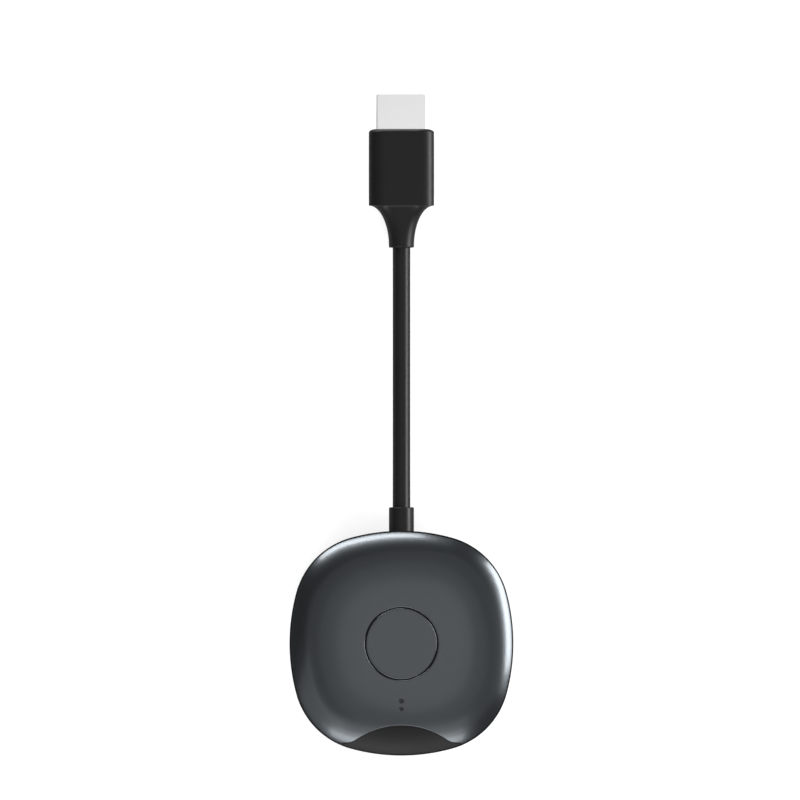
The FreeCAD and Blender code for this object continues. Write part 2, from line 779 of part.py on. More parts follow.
def make_button_guide():
    inner = "flange_width + 2 * guide_side_gap"
    outer = f"{inner} + 2 * guide_wall"
    floor_top = f"({GUIDE_BOTTOM} + guide_floor)"
    floor = disc("guide_floor_disc", outer, GUIDE_BOTTOM, floor_top)
    wall = disc("guide_wall_disc", outer, GUIDE_BOTTOM, f"{COVER_UNDER} - 2 * slip_fit")
    room = disc("guide_room_disc", inner, floor_top, "puck_height")
    ears = [disc("guide_ear", "guide_ear_width", GUIDE_BOTTOM, floor_top, x, y) for x, y in guide_pins()]
    holes = [disc("guide_ear_hole", "guide_pin_width + 2 * slip_fit", f"{GUIDE_BOTTOM} - {PAST}",
                  "puck_height", x, y) for x, y in guide_pins()]
    bore = disc("guide_bore", "guide_inner", "0", "puck_height")
    solid = fuse("guide_solid", cut("guide_cup", wall, room), floor, *ears)
    keep("button_guide", cut("button_guide", solid, bore, *holes))


def make_switch():
    body_top = f"({BOARD_TOP} + switch_body_height)"
    well_floor = f"({body_top} - switch_well_depth)"
    base = block("switch_block", "switch_width", "switch_width", "switch_body_height", z=BOARD_TOP)
    well = disc("switch_well", "switch_well_width", well_floor, "puck_height")
    keep("switch_base", cut("switch_base", base, well))
    plate = block("switch_plate_blank", "switch_plate_width", "switch_plate_width", "switch_plate_thickness",
                  z=body_top)
    hole = disc("plate_hole", "stem_width + 2 * loose_fit", "0", "puck_height")
    keep("switch_plate", cut("switch_plate", plate, hole))
    keep("switch_dome", dome_cap(well_floor))
    stem_bottom = f"({well_floor} + {DOME_HEIGHT} + contact_fit)"
    flange = disc("stem_flange", "stem_flange_width", stem_bottom, f"{stem_bottom} + stem_flange_thickness")
    stem = disc("stem", "stem_width", stem_bottom, SWITCH_TOP)
    keep("switch_plunger", fuse("switch_plunger", stem, flange))


# The snap dome: a thin spherical cap standing on the well's floor. Its radius follows
# from its height and half width: half their squares' sum, shared by the height.
def dome_cap(floor):
    body = new_body("switch_dome")
    sketch = new_sketch(body, "dome_profile", "XZ_Plane", across=floor)
    height, half, skin = number(DOME_HEIGHT), number("dome_width / 2"), number("dome_skin")
    outer_radius = (half ** 2 + height ** 2) / (2 * height)
    inner_radius = outer_radius - skin
    middle = height - outer_radius
    inner_half = math.sqrt(inner_radius ** 2 - middle ** 2)
    sketch.addGeometry([
        arc((0, middle), outer_radius, math.atan2(-middle, half), math.pi / 2),
        arc((0, middle), inner_radius, math.atan2(-middle, inner_half), math.pi / 2),
        Part.LineSegment(FreeCAD.Vector(0, height, 0), FreeCAD.Vector(0, height - skin, 0)),
        Part.LineSegment(FreeCAD.Vector(half, 0, 0), FreeCAD.Vector(inner_half, 0, 0)),
    ])
    joined = [(0, 2, 2, 1), (2, 2, 1, 2), (0, 1, 3, 1), (3, 2, 1, 1), (0, 3, 1, 3)]
    for first, first_end, second, second_end in joined:
        sketch.addConstraint(Sketcher.Constraint("Coincident", first, first_end, second, second_end))
    for index, end, axis in ((0, 3, -2), (0, 2, -2), (3, 1, -1), (3, 2, -1)):
        sketch.addConstraint(Sketcher.Constraint("PointOnObject", index, end, axis))
    fix(sketch, DOME_HEIGHT, "DistanceY", -1, 1, 0, 2)
    fix(sketch, "dome_width / 2", "DistanceX", -1, 1, 0, 1)
    fix(sketch, "dome_skin", "Distance", 2)
    turn = body.newObject("PartDesign::Revolution", "dome_turn")
    turn.Profile = sketch
    turn.ReferenceAxis = (sketch, ["V_Axis"])
    turn.Angle = 360
    doc.recompute()
    return body


# Indicator lights: two windows and two columns on one bar, cut flush with the cover
def make_lights(dome):
    bar_top = f"({COVER_UNDER} - light_bar_gap)"
    bar_bottom = f"({bar_top} - light_bar_thickness)"
    column_end = f"({BOARD_TOP} + lamp_height + lamp_gap)"
    guides = [block("light_bridge", "light_bar_width", "light_bar_length", "light_bar_thickness",
                    y="-light_reach", z=bar_bottom)]
    lamps = []
    for width, y in light_places():
        guides.append(disc("light_window", width, bar_bottom, ABOVE, y=y))
        guides.append(disc("light_column", "light_column_width", column_end, bar_top, y=y))
        lamps.append(block("lamp", "lamp_length", "lamp_width", "lamp_height", y=y, z=BOARD_TOP))
    under = puck_slab("light_under", "2 * tray_wall", "foot_stand", "parting_height")
    limit = fuse("light_limit", dome, under)
    keep("light_guide", common("light_guide", fuse("light_guide_solid", *guides), limit))
    keep("indicator_lamps", group("indicator_lamps", lamps))


# Board and what it carries
def make_board():
    slab = puck_slab("board_blank", "tray_wall + board_clearance", BOARD_BOTTOM, BOARD_TOP)
    tools = [disc("board_boss_hole", "2 * boss_radius + 2 * boss_clearance", "0", "puck_height", x, y)
             for x, y in boss_places()]
    tools.append(block("board_notch", "board_notch_width", "puck_length", "puck_height",
                       y=f"{CABLE_START} - clamp_setback + puck_length / 2"))
    screws = []
    for x in both_sides("board_screw_share * puck_width"):
        tools.append(disc("board_screw_hole", "small_screw_width + 2 * loose_fit", "0", "puck_height", x))
        screws.append(screw("board_screw", "small_head_width", f"{BOARD_TOP} + small_head_height", BOARD_TOP,
                            "small_screw_width", BOARD_SCREW_TIP, x))
    keep("main_board", cut("main_board", slab, *tools))
    keep("board_screws", group("board_screws", screws))


def on_board(name, width, length, height, x, y):
    return keep(name, block(name, width, length, height, x, y, BOARD_TOP))


SINK_FINS = 6


def make_processor_stack():
    x, y = PROCESSOR_X, "processor_ahead"
    chip_top = f"({BOARD_TOP} + chip_thickness)"
    sink_bottom = f"({chip_top} + pad_thickness)"
    sink_height = f"({GUIDE_BOTTOM} - stake_head_height - sink_clearance - {sink_bottom})"
    on_board("processor", "processor_width", "processor_width", "chip_thickness", x, y)
    keep("thermal_pad", block("thermal_pad", "processor_width", "processor_width", "pad_thickness",
                              x, y, chip_top))
    parts = [block("sink_slab", "sink_width", "sink_length", "sink_base", x, y, sink_bottom)]
    for index in range(SINK_FINS):
        across = f"{x} + ({index} / {SINK_FINS - 1} - 0.5) * (sink_width - fin_thickness)"
        parts.append(block("sink_fin", "fin_thickness", "sink_length", sink_height, across, y, sink_bottom))
    keep("heat_sink", fuse("heat_sink", *parts))


def make_radio():
    x, y = RADIO_X, RADIO_Y
    deck = f"({BOARD_TOP} + radio_board)"
    width = "(radio_width - 2 * radio_cover_inset)"
    length = "(radio_length - 2 * radio_cover_inset)"
    on_board("radio_board", "radio_width", "radio_length", "radio_board", x, y)
    can = block("radio_can", width, length, "radio_cover_height", x, y, deck)
    room = block("radio_room", f"{width} - 2 * radio_cover_wall", f"{length} - 2 * radio_cover_wall",
                 "radio_cover_height - radio_cover_wall", x, y, deck)
    keep("radio_cover", cut("radio_cover", can, room))
    keep("radio_chip", block("radio_chip", "radio_chip_width", "radio_chip_width", "radio_chip_thickness",
                             x, y, deck))


# Parts are placed from the processor, the radio board and the antenna leads beside them
ROW_CAPACITORS = 5
COLUMN_CAPACITORS = 4


def make_small_parts():
    row_y = "(processor_ahead - processor_width / 2 - part_gap - capacitor_length / 2)"
    memory_y = f"({row_y} - capacitor_length / 2 - part_gap - memory_length / 2)"
    crystal_y = f"({LEADS_Y} - lead_width / 2 - loose_fit - crystal_length / 2)"
    bulk_y = f"({memory_y} - memory_length / 2 - 2 * part_gap - bulk_length / 2)"
    flash_y = f"({RADIO_BACK} - flash_setback - flash_length / 2)"
    regulator_x = "(regulator_share * puck_width)"
    regulator_y = f"({RADIO_BACK} - regulator_setback - regulator_width / 2)"
    on_board("memory_chip", "memory_width", "memory_length", "chip_thickness",
             "-memory_share * puck_width", memory_y)
    on_board("flash_chip", "flash_width", "flash_length", "flash_thickness", RADIO_X, flash_y)
    on_board("processor_crystal", "crystal_width", "crystal_length", "crystal_thickness",
             PROCESSOR_X, crystal_y)
    on_board("power_regulator", "regulator_width", "regulator_width", "regulator_thickness",
             regulator_x, regulator_y)
    on_board("bulk_capacitor", "bulk_width", "bulk_length", "bulk_height", "-bulk_share * puck_width", bulk_y)
    reach = "(regulator_width / 2 + coil_width / 2 + 2 * part_gap)"
    coils = []
    for x, y in ((f"{regulator_x} + part_gap", f"{regulator_y} - {reach}"),
                 (f"{regulator_x} + {reach} + 2 * part_gap", f"{regulator_y} - 4 * part_gap")):
        coils.append(block("coil", "coil_width", "coil_width", "coil_height", x, y, BOARD_TOP))
    keep("power_inductors", group("power_inductors", coils))
    capacitors = []
    for index in range(ROW_CAPACITORS):
        x = f"{PROCESSOR_X} + {index - (ROW_CAPACITORS - 1) / 2} * capacitor_pitch"
        capacitors.append(block("capacitor", "capacitor_width", "capacitor_length", "capacitor_width",
                                x, row_y, BOARD_TOP))
    for index in range(COLUMN_CAPACITORS):
        y = f"{RADIO_BACK} - part_gap - {index + 0.5} * (capacitor_width + 2 * part_gap)"
        capacitors.append(block("capacitor", "capacitor_length", "capacitor_width", "capacitor_width",
                                f"{RADIO_X} - radio_width / 2", y, BOARD_TOP))
    keep("board_capacitors", group("board_capacitors", capacitors))


PORT_CONTACTS = 12


def make_power_port():
    front = "(-puck_length / 2 + port_recess)"
    back = f"({front} + port_length)"
    radius = f"(port_thickness / 2 - {STRAIGHT_LEFT})"
    outside = bar("port_outside", "port_width", "port_thickness", radius, front, back, "port_height")
    inside = bar("port_inside", "port_width - 2 * port_metal", "port_thickness - 2 * port_metal",
                 f"{radius} - port_metal", f"{front} - {PAST}", f"{back} - port_metal", "port_height")
    keep("power_port_shell", cut("power_port_shell", outside, inside))
    core_end = f"({back} - port_metal - slip_fit)"
    root = f"({core_end} - port_back)"
    wall = "(port_metal + slip_fit)"
    core = bar("port_core_back", f"port_width - 2 * {wall}", f"port_thickness - 2 * {wall}",
               f"{radius} - {wall}", root, core_end, "port_height")
    tongue = block("port_tongue", "tongue_width", f"tongue_length + {PAST}", "tongue_thickness",
                   y=f"{root} + ({PAST} - tongue_length) / 2", z="port_height - tongue_thickness / 2")
    keep("power_port_core", fuse("power_port_core", core, tongue))
    length = "(tongue_length - port_contact_setback)"
    levels = ("port_height - tongue_thickness / 2 - port_contact_thickness",
              "port_height + tongue_thickness / 2")
    contacts = []
    for level in levels:
        for index in range(PORT_CONTACTS):
            x = f"{index - (PORT_CONTACTS - 1) / 2} * port_contact_pitch"
            contacts.append(block("port_contact", "port_contact_width", length, "port_contact_thickness",
                                  x, f"{root} - {length} / 2", level))
    keep("power_port_contacts", group("power_port_contacts", contacts))


# Antennas stand against the side walls, each with a thin lead to its plug behind the
# radio. The leads' bends are chosen by hand, between the wall and the plug.
def make_antennas():
    bottom = f"({BOARD_TOP} + antenna_lift)"
    ring = cut("antenna_ring",
               puck_slab("antenna_outer", "tray_wall + slip_fit", bottom, f"{bottom} + antenna_height"),
               puck_slab("antenna_inner", "tray_wall + slip_fit + antenna_thickness", "0", "puck_height"))
    for x, name in zip(both_sides("puck_width"), ("left_antenna", "right_antenna")):
        window = block(f"{name}_window", "puck_width / 2", "antenna_length", "puck_height", x)
        keep(name, common(name, ring, window))
    plug_places = [f"{RADIO_X} + {x}" for x in both_sides("lead_plug_pitch")]
    plugs = [disc("lead_plug", "lead_plug_width", BOARD_TOP, f"{BOARD_TOP} + lead_plug_height", x, LEADS_Y)
             for x in plug_places]
    keep("antenna_connectors", group("antenna_connectors", plugs))
    level = number(f"{BOARD_TOP} + lead_width / 2 + slip_fit")
    start_x = number("puck_width / 2 - tray_wall - antenna_thickness - lead_width")
    start_y = number("antenna_length / 4")
    end_y = number(LEADS_Y)
    corner_x = number(f"{PROCESSOR_X} - processor_width / 4")
    left_end = number(f"{plug_places[0]} - lead_plug_width / 2 - loose_fit")
    right_end = number(f"{plug_places[1]} + lead_plug_width / 2 + lead_width / 2")
    routes = {
        "left_antenna_lead": [(-start_x, start_y), (-start_x + 5, end_y - 4), (corner_x, end_y),
                              (left_end, end_y)],
        "right_antenna_lead": [(start_x, start_y), (start_x - 2.5, end_y - 5), (right_end, end_y)],
    }
    for name, route in routes.items():
        keep(name, tube(name, [(x, y, level) for x, y in route], "lead_width", 3))


# A tube along straight runs joined by tangent arcs, whose radius is a share of the
# tube's own
def tube(name, route, width, bend_share):
    points = [FreeCAD.Vector(*place) for place in route]
    radius = number(f"{width} / 2")
    turn = bend_share * radius
    edges = []
    start = points[0]
    for before, corner, after in zip(points, points[1:], points[2:]):
        back = (before - corner).normalize()
        ahead = (after - corner).normalize()
        angle = back.getAngle(ahead)
        setback = turn / math.tan(angle / 2)
        middle = (back + ahead).normalize() * (turn / math.sin(angle / 2) - turn)
        first, last = corner + back * setback, corner + ahead * setback
        edges.append(Part.makeLine(start, first))
        edges.append(Part.Arc(first, corner + middle, last).toShape())
        start = last
    edges.append(Part.makeLine(start, points[-1]))
    section = Part.Wire([Part.makeCircle(radius, points[0], points[1] - points[0])])
    item = doc.addObject("Part::Feature", name)
    item.Shape = Part.Wire(edges).makePipeShell([section], True, False)
    return item


# Cable: nine wires leave the jacket in two rows and fan out to flat rows
WIRE_COUNT = 9


def fan(name, start, middle, end, end_levels):
    first, bend, last = number(start), number(middle), number(end)
    axis, rise = number("cable_height"), number("bundle_rise")
    straight = math.copysign(number("wire_straight"), last - first)
    wires = []
    for index in range(WIRE_COUNT):
        row = index % 2
        place = index - (WIRE_COUNT - 1) / 2
        near_x = place * number("bundle_pitch")
        far_x = place * number("wire_pitch")
        near_z = axis + (rise if row == 0 else -rise)
        route = [(near_x, first, near_z), (near_x, first + straight, near_z),
                 (far_x, bend, end_levels[row]), (far_x, last, end_levels[row])]
        wires.append(tube(f"{name}_wire", route, "wire_width", 1.5))
    return keep(name, group(name, wires))


def make_cable():
    keep("cable_jacket", rod("cable_jacket", "cable_width", CABLE_START, f"{CAN_BACK} - slip_fit"))


# The collar outside, a neck through the wall's slot and a flange behind the wall
def make_strain_relief():
    bite = "(collar_flange_thickness / 2)"
    blank = rod("collar_blank", "collar_width", f"{WALL_INSIDE} + tray_wall / 2", COLLAR_END)
    barrel = cut("collar_barrel", blank, tray_outside("collar_clear", "slip_fit"))
    neck_low = rod("collar_neck_low", "collar_neck_width", f"{WALL_INSIDE} - {bite}",
                   f"puck_length / 2 + {PAST}")
    neck_high = block("collar_neck_high", "collar_neck_width", f"tray_wall + {bite}",
                      "parting_height - cable_height - slip_fit",
                      y=f"{WALL_INSIDE} + (tray_wall - {bite}) / 2", z="cable_height")
    plate = block("collar_plate", "collar_flange_width", f"collar_flange_thickness + {PAST}",
                  f"parting_height - {FLOOR_TOP} - 2 * slip_fit",
                  y=f"{WALL_INSIDE} - slip_fit + ({PAST} - collar_flange_thickness) / 2",
                  z=f"{FLOOR_TOP} + slip_fit")
    limit = puck_slab("flange_limit", "tray_wall + slip_fit", "0", "parting_height")
    flange = common("collar_flange", plate, limit)
    bore = rod("collar_bore", "cable_width + 2 * slip_fit", "0", f"{COLLAR_END} + {PAST}")
    solid = fuse("collar_solid", barrel, neck_low, neck_high, flange)
    keep("strain_relief", cut("strain_relief", solid, bore))


def make_clamp():
    plate_top = f"({CLAMP_SEAT} + clamp_height)"
    plate = block("clamp_blank", "clamp_width", "clamp_length", "clamp_height", y=CLAMP_MIDDLE, z=CLAMP_SEAT)
    tools = [rod("clamp_groove", "cable_width + 2 * slip_fit", f"{CLAMP_BACK} - {PAST}",
                 f"{CLAMP_BACK} + clamp_length + {PAST}")]
    screws = []
    for x in both_sides("clamp_screw_spread"):
        tools.append(disc("clamp_hole", "small_screw_width + 2 * loose_fit", "0", "puck_height",
                          x, CLAMP_MIDDLE))
        screws.append(screw("clamp_screw", "small_head_width", f"{plate_top} + small_head_height", plate_top,
                            "small_screw_width", CLAMP_SCREW_TIP, x, CLAMP_MIDDLE))
    keep("cable_clamp", cut("cable_clamp", plate, *tools))
    keep("clamp_screws", group("clamp_screws", screws))


def make_board_wires():
    level = number(f"{BOARD_TOP} + wire_width / 2 + contact_fit")
    fan("board_wires", f"{CABLE_START} - contact_fit", f"{CABLE_START} - wire_fan_length", WIRES_END,
        [level, level])


# Plug body. The shoulders widen along a quarter ellipse that starts along the neck.
SHOULDER_STEPS = 6


def shoulder(name):
    neck_round = f"(neck_width / 2 - {STRAIGHT_LEFT})"
    body = new_body(name)
    sections = []
    for step in range(SHOULDER_STEPS, -1, -1):
        turn = math.pi / 2 * step / SHOULDER_STEPS
        along, out = math.sin(turn), 1 - math.cos(turn)
        sketch = new_sketch(body, f"{name}_section", "XZ_Plane", f"-({SHOULDER} + {along} * shoulder_length)",
                            "cable_height")
        rounded(sketch,
                f"neck_width + {out} * (plug_width - neck_width)",
                f"neck_width + {out} * (plug_thickness - neck_width)",
                f"{neck_round} + {out} * (plug_edge_radius - {neck_round})")
        sections.append(sketch)
    loft(body, sections)
    return body


def make_overmould():
    neck = rod("plug_neck", "neck_width", NECK_END, f"{SHOULDER} + neck_length")
    trunk = bar("plug_trunk", "plug_width", "plug_thickness", "plug_edge_radius", BODY_START, BODY_END)
    front = number(BODY_END) - number("slip_fit")
    dress(trunk, "Fillet", "Radius", "plug_front_radius", lambda edge: edge.BoundBox.YMin > front)
    solid = fuse("plug_solid", shoulder("plug_shoulder"), trunk, neck)
    ferrule_back = f"({CAN_BACK} - ferrule_length - 2 * slip_fit)"
    bore = "cable_width + 2 * slip_fit"
    ferrule_width = f"{bore} + 2 * ferrule_wall"
    around = "4 * slip_fit + 2 * can_wall"
    keep("plug_overmould", cut(
        "plug_overmould", solid,
        rod("plug_bore", bore, f"{NECK_END} - {PAST}", CAN_FRONT),
        rod("ferrule_room", f"{ferrule_width} + 2 * slip_fit", ferrule_back, CAN_FRONT),
        bar("can_room", f"metal_width + {around}", f"metal_height + {around}", "can_edge_radius + slip_fit",
            f"{CAN_BACK} - slip_fit", f"{CAN_FRONT} + slip_fit"),
        metal_bar("metal_room", "slip_fit", METAL_ROOT, METAL_TIP)))
    keep("cable_ferrule", cut(
        "cable_ferrule",
        rod("ferrule_outer", ferrule_width, f"{ferrule_back} + slip_fit", f"{CAN_BACK} - slip_fit"),
        rod("ferrule_inner", bore, f"{ferrule_back} - {PAST}", CAN_FRONT)))


# The plug's metal section: level on top, its two lower corners cut off at 45 degrees.
# Growing the section by some amount all round grows the bevel by 2 less root 2 of it.
BEVEL_GROWTH = 2 - math.sqrt(2)
CORNER_TURN = FreeCAD.Rotation(FreeCAD.Vector(0, 1, 0), 45)


def metal_bar(name, grow, start, end):
    body = bar(name, f"metal_width + 2 * ({grow})", f"metal_height + 2 * ({grow})",
               f"metal_edge_radius + ({grow})", start, end)
    bevel = f"(metal_bevel + {BEVEL_GROWTH} * ({grow}))"
    corners = []
    for side in (-1, 1):
        corner = doc.addObject("Part::Box", f"{name}_corner")
        corner.Placement = FreeCAD.Placement(FreeCAD.Vector(), CORNER_TURN)
        bind(corner, "Length", f"{bevel} * sqrt(2)")
        bind(corner, "Width", f"({end}) - ({start}) + 2 * {PAST}")
        bind(corner, "Height", f"{bevel} * sqrt(2)")
        move(corner, f"{side} * (metal_width / 2 + ({grow})) - {bevel}", f"({start}) - {PAST}",
             f"cable_height - metal_height / 2 - ({grow})")
        corners.append(corner)
    return cut(f"{name}_bevelled", body, *corners)


def make_plug_metal():
    outside = metal_bar("metal_outside", "0", METAL_ROOT, METAL_TIP)
    inside = metal_bar("metal_inside", "-metal_wall", f"{METAL_ROOT} - {PAST}", f"{METAL_TIP} + {PAST}")
    keep("plug_metal_shell", cut("plug_metal_shell", outside, inside))


def make_shield_can():
    width = "(metal_width + 2 * slip_fit)"
    height = "(metal_height + 2 * slip_fit)"
    outside = bar("can_outside", f"{width} + 2 * can_wall", f"{height} + 2 * can_wall", "can_edge_radius",
                  CAN_BACK, CAN_FRONT)
    inside = bar("can_inside", width, height, "can_edge_radius - can_wall", f"{CAN_BACK} + can_wall",
                 f"{CAN_FRONT} + {PAST}")
    door = rod("can_door", "can_door_width", f"{CAN_BACK} - {PAST}", f"{CAN_BACK} + {PAST}")
    can = cut("shield_can", outside, inside, door)
    levels = {"upper_shield_half": "cable_height", "lower_shield_half": "cable_height - plug_thickness"}
    for name, z in levels.items():
        half = block(f"{name}_box", "plug_width", f"can_length + 2 * {PAST}", "plug_thickness",
                     y=f"{CAN_BACK} + can_length / 2", z=z)
        keep(name, common(name, can, half))


# The plastic tongue holder and its two rows of contacts, each in its own groove
UPPER_CONTACTS = 10
LOWER_CONTACTS = 9
CONTACT_BACK = f"({CORE_BACK} - contact_tail)"


def make_plug_core():
    core = metal_bar("core_blank", "-metal_wall - slip_fit", CORE_BACK, CORE_FRONT)
    slot = block("core_slot", "slot_width", f"slot_depth + {PAST}", "slot_height",
                 y=f"{CORE_FRONT} + ({PAST} - slot_depth) / 2", z="cable_height - slot_height / 2")
    length = f"({CORE_FRONT} - contact_setback - {CONTACT_BACK})"
    middle = f"({CONTACT_BACK} + {length} / 2)"
    groove_height = "(contact_thickness + loose_fit + contact_fit)"
    levels = [
        (UPPER_CONTACTS, "cable_height + slot_height / 2", "cable_height + slot_height / 2 - loose_fit"),
        (LOWER_CONTACTS, "cable_height - slot_height / 2 - contact_thickness",
         "cable_height - slot_height / 2 - contact_thickness - contact_fit"),
    ]
    contacts, grooves = [], []
    for count, level, groove_level in levels:
        for index in range(count):
            x = f"{index - (count - 1) / 2} * contact_pitch"
            contacts.append(block("contact", "contact_width", length, "contact_thickness", x, middle, level))
            grooves.append(block("contact_groove", "contact_width + 2 * contact_fit", f"{length} + loose_fit",
                                 groove_height, x, middle, groove_level))
    keep("plug_core", cut("plug_core", core, slot, *grooves))
    keep("plug_contacts", group("plug_contacts", contacts))


def make_plug_wires():
    lift = number("slot_height / 2 + contact_thickness + wire_width / 2 + contact_fit")
    axis = number("cable_height")
    mould_end = f"({CONTACT_BACK} - loose_fit)"
    mould_start = f"({mould_end} - mould_length)"
    fan("plug_wires", CAN_BACK, f"{mould_start} - wire_straight", f"{CONTACT_BACK} + contact_landing",
        [axis + lift, axis - lift])
    slab = bar("mould_blank", "metal_width - 2 * loose_fit", "metal_height - 2 * loose_fit",
               "mould_edge_radius", mould_start, mould_end)
    holes = []
    for index in range(WIRE_COUNT):
        level = f"cable_height + {lift if index % 2 == 0 else -lift}"
        holes.append(rod("mould_hole", "wire_width + 2 * slip_fit", f"{mould_start} - {PAST}",
                         f"{mould_end} + {PAST}", f"{index - (WIRE_COUNT - 1) / 2} * wire_pitch", level))
    keep("wire_mould", cut("wire_mould", slab, *holes))


def make_all():
    dome = pillow("cover_outside", "rim_lip", "puck_height")
    plan = crescent_plan("crescent_plan", "0", f"parting_height - {PAST}", ABOVE)
    gap_plan = crescent_plan("crescent_gap_plan", "crescent_gap", f"parting_height - {PAST}", ABOVE)
    make_top_cover(dome, gap_plan)
    make_lower_tray(plan)
    make_foot_and_label()
    make_casing_screws()
    make_button()
    make_button_guide()
    make_switch()
    make_lights(dome)
    make_board()
    make_processor_stack()
    make_radio()
    make_small_parts()
    make_power_port()
    make_antennas()
    make_cable()
    make_strain_relief()
    make_clamp()
    make_board_wires()
    make_overmould()
    make_plug_metal()
    make_shield_can()
    make_plug_core()
    make_plug_wires()



make_all()
doc.recompute()

for item in doc.Objects:
    if "Invalid" in item.State or "Error" in item.State:
        raise RuntimeError(f"{item.Name} did not build: {item.State}")
for label, item in pieces.items():
    if item.Shape.isNull() or not item.Shape.isValid() or not item.Shape.Solids:
        raise RuntimeError(f"{label} is not a sound solid")

os.makedirs("parts", exist_ok=True)
for label, item in pieces.items():
    item.Shape.exportStep(f"parts/{label}.step")
    box = item.Shape.BoundBox
    print(f"{label}: {len(item.Shape.Solids)} solid(s), {item.Shape.Volume:.1f} mm3, "
          f"{box.XLength:.2f} x {box.YLength:.2f} x {box.ZLength:.2f}")
print(f"cable runs straight for {number(f'{CAN_BACK} - {CABLE_START}'):.2f} mm, no bends")
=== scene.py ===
import json
import math
import bmesh
import bpy
import numpy as np
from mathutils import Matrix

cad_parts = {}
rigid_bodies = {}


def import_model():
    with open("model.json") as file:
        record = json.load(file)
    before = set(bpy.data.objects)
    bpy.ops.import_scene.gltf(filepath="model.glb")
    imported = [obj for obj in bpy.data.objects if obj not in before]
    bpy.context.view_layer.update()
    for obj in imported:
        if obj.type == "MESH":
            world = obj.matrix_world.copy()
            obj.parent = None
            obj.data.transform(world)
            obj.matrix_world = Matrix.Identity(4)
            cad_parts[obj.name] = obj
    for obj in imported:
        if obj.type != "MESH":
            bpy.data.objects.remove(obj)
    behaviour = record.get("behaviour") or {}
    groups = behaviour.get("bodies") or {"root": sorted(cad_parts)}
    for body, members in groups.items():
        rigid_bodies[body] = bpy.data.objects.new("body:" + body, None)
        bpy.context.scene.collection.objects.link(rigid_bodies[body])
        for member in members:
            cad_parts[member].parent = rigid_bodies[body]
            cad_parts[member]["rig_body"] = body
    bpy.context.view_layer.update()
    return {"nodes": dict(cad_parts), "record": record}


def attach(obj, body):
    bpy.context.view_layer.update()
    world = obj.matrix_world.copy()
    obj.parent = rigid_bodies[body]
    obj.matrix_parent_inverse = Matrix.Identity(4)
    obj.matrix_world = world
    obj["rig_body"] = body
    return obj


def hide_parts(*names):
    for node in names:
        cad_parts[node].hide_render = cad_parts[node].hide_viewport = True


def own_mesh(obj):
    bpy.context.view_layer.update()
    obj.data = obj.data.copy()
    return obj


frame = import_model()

mm = 0.001
slotOf = {part["node"]: part["material_slot"] for part in frame["record"]["subparts"]}
print("frame loaded:", len(frame["nodes"]), "nodes")


# camera, straight down over the middle of the picture, sizes in mm
picture = {"middle": (-0.4, 67.6), "width": 222.4, "distance": 2400, "plane": 6.7, "sensor": 36,
           "clipNear": 50, "clipFar": 50000}

camera = bpy.data.objects.new("camera", bpy.data.cameras.new("camera"))
bpy.context.scene.collection.objects.link(camera)
camera.data.sensor_width = picture["sensor"]
camera.data.lens = picture["sensor"] * picture["distance"] / picture["width"]
camera.data.clip_start = picture["clipNear"] * mm
camera.data.clip_end = picture["clipFar"] * mm
camera.location = (picture["middle"][0] * mm, picture["middle"][1] * mm,
                   (picture["distance"] + picture["plane"]) * mm)
bpy.context.scene.camera = camera
bpy.context.scene.view_settings.view_transform = "Standard"


# surfaces: rows of points in mm become quads; rows and columns may close on themselves, and a tube
# whose rows don't gets a flat face on each end
def addObject(name, parts, sharpAngle=35):
    vertices, faces, start = [], [], 0
    for points, closeRows, closeColumns in parts:
        rows, columns = points.shape[:2]
        index = np.arange(rows * columns).reshape(rows, columns) + start
        if closeRows:
            index = np.vstack([index, index[:1]])
        if closeColumns:
            index = np.hstack([index, index[:, :1]])
        quads = np.stack([index[:-1, :-1], index[:-1, 1:], index[1:, 1:], index[1:, :-1]], axis=-1)
        vertices.append(points.reshape(-1, 3))
        faces += quads.reshape(-1, 4).tolist()
        if closeColumns and not closeRows:
            faces += [index[0, :columns][::-1].tolist(), index[-1, :columns].tolist()]
        start += rows * columns
    mesh = bpy.data.meshes.new(name)
    mesh.from_pydata((np.vstack(vertices) * mm).tolist(), [], faces)
    mesh.shade_smooth()
    mesh.set_sharp_from_angle(angle=math.radians(sharpAngle))
    made = bpy.data.objects.new(name, mesh)
    bpy.context.scene.collection.objects.link(made)
    return made


def place(piece, node):
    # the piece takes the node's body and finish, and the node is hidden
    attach(piece, frame["nodes"][node]["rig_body"])
    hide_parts(node)
    piece.data.materials.clear()
    piece.data.materials.append(finishes[slotOf[node]])
    return piece


def spin(profile, x=0.0, y=0.0, steps=144):
    # a profile of (radius, height) carried once round an upright line
    turn = np.linspace(0, 2 * math.pi, steps, endpoint=False)
    profile = np.array(profile, float)
    radius, height = profile[:, 0][:, None], profile[:, 1][:, None]
    return np.stack([x + radius * np.cos(turn), y + radius * np.sin(turn), height + 0 * turn], axis=-1)


def bend(cornerX, cornerZ, radius, first, last, steps):
    # points on an arc about a corner's centre, from one angle in degrees to another
    turn = np.radians(np.linspace(first, last, steps))
    return list(zip(cornerX + radius * np.cos(turn), cornerZ + radius * np.sin(turn)))


# shader expressions
class Signal:
    # a node's output; an expression on it adds Math nodes
    def __init__(self, finish, socket):
        self.finish = finish
        self.socket = socket

    def mathNode(self, operation, first, second):
        return self.finish.add("ShaderNodeMath", {"operation": operation}, {0: first, 1: second})

    def __add__(self, other):
        return self.mathNode("ADD", self, other)

    def __sub__(self, other):
        return self.mathNode("SUBTRACT", self, other)

    def __rsub__(self, other):
        return self.mathNode("SUBTRACT", other, self)

    def __mul__(self, other):
        return self.mathNode("MULTIPLY", self, other)

    def __pow__(self, other):
        return self.mathNode("POWER", self, other)

    def __lt__(self, other):
        return self.mathNode("LESS_THAN", self, other)

    __radd__ = __add__
    __rmul__ = __mul__


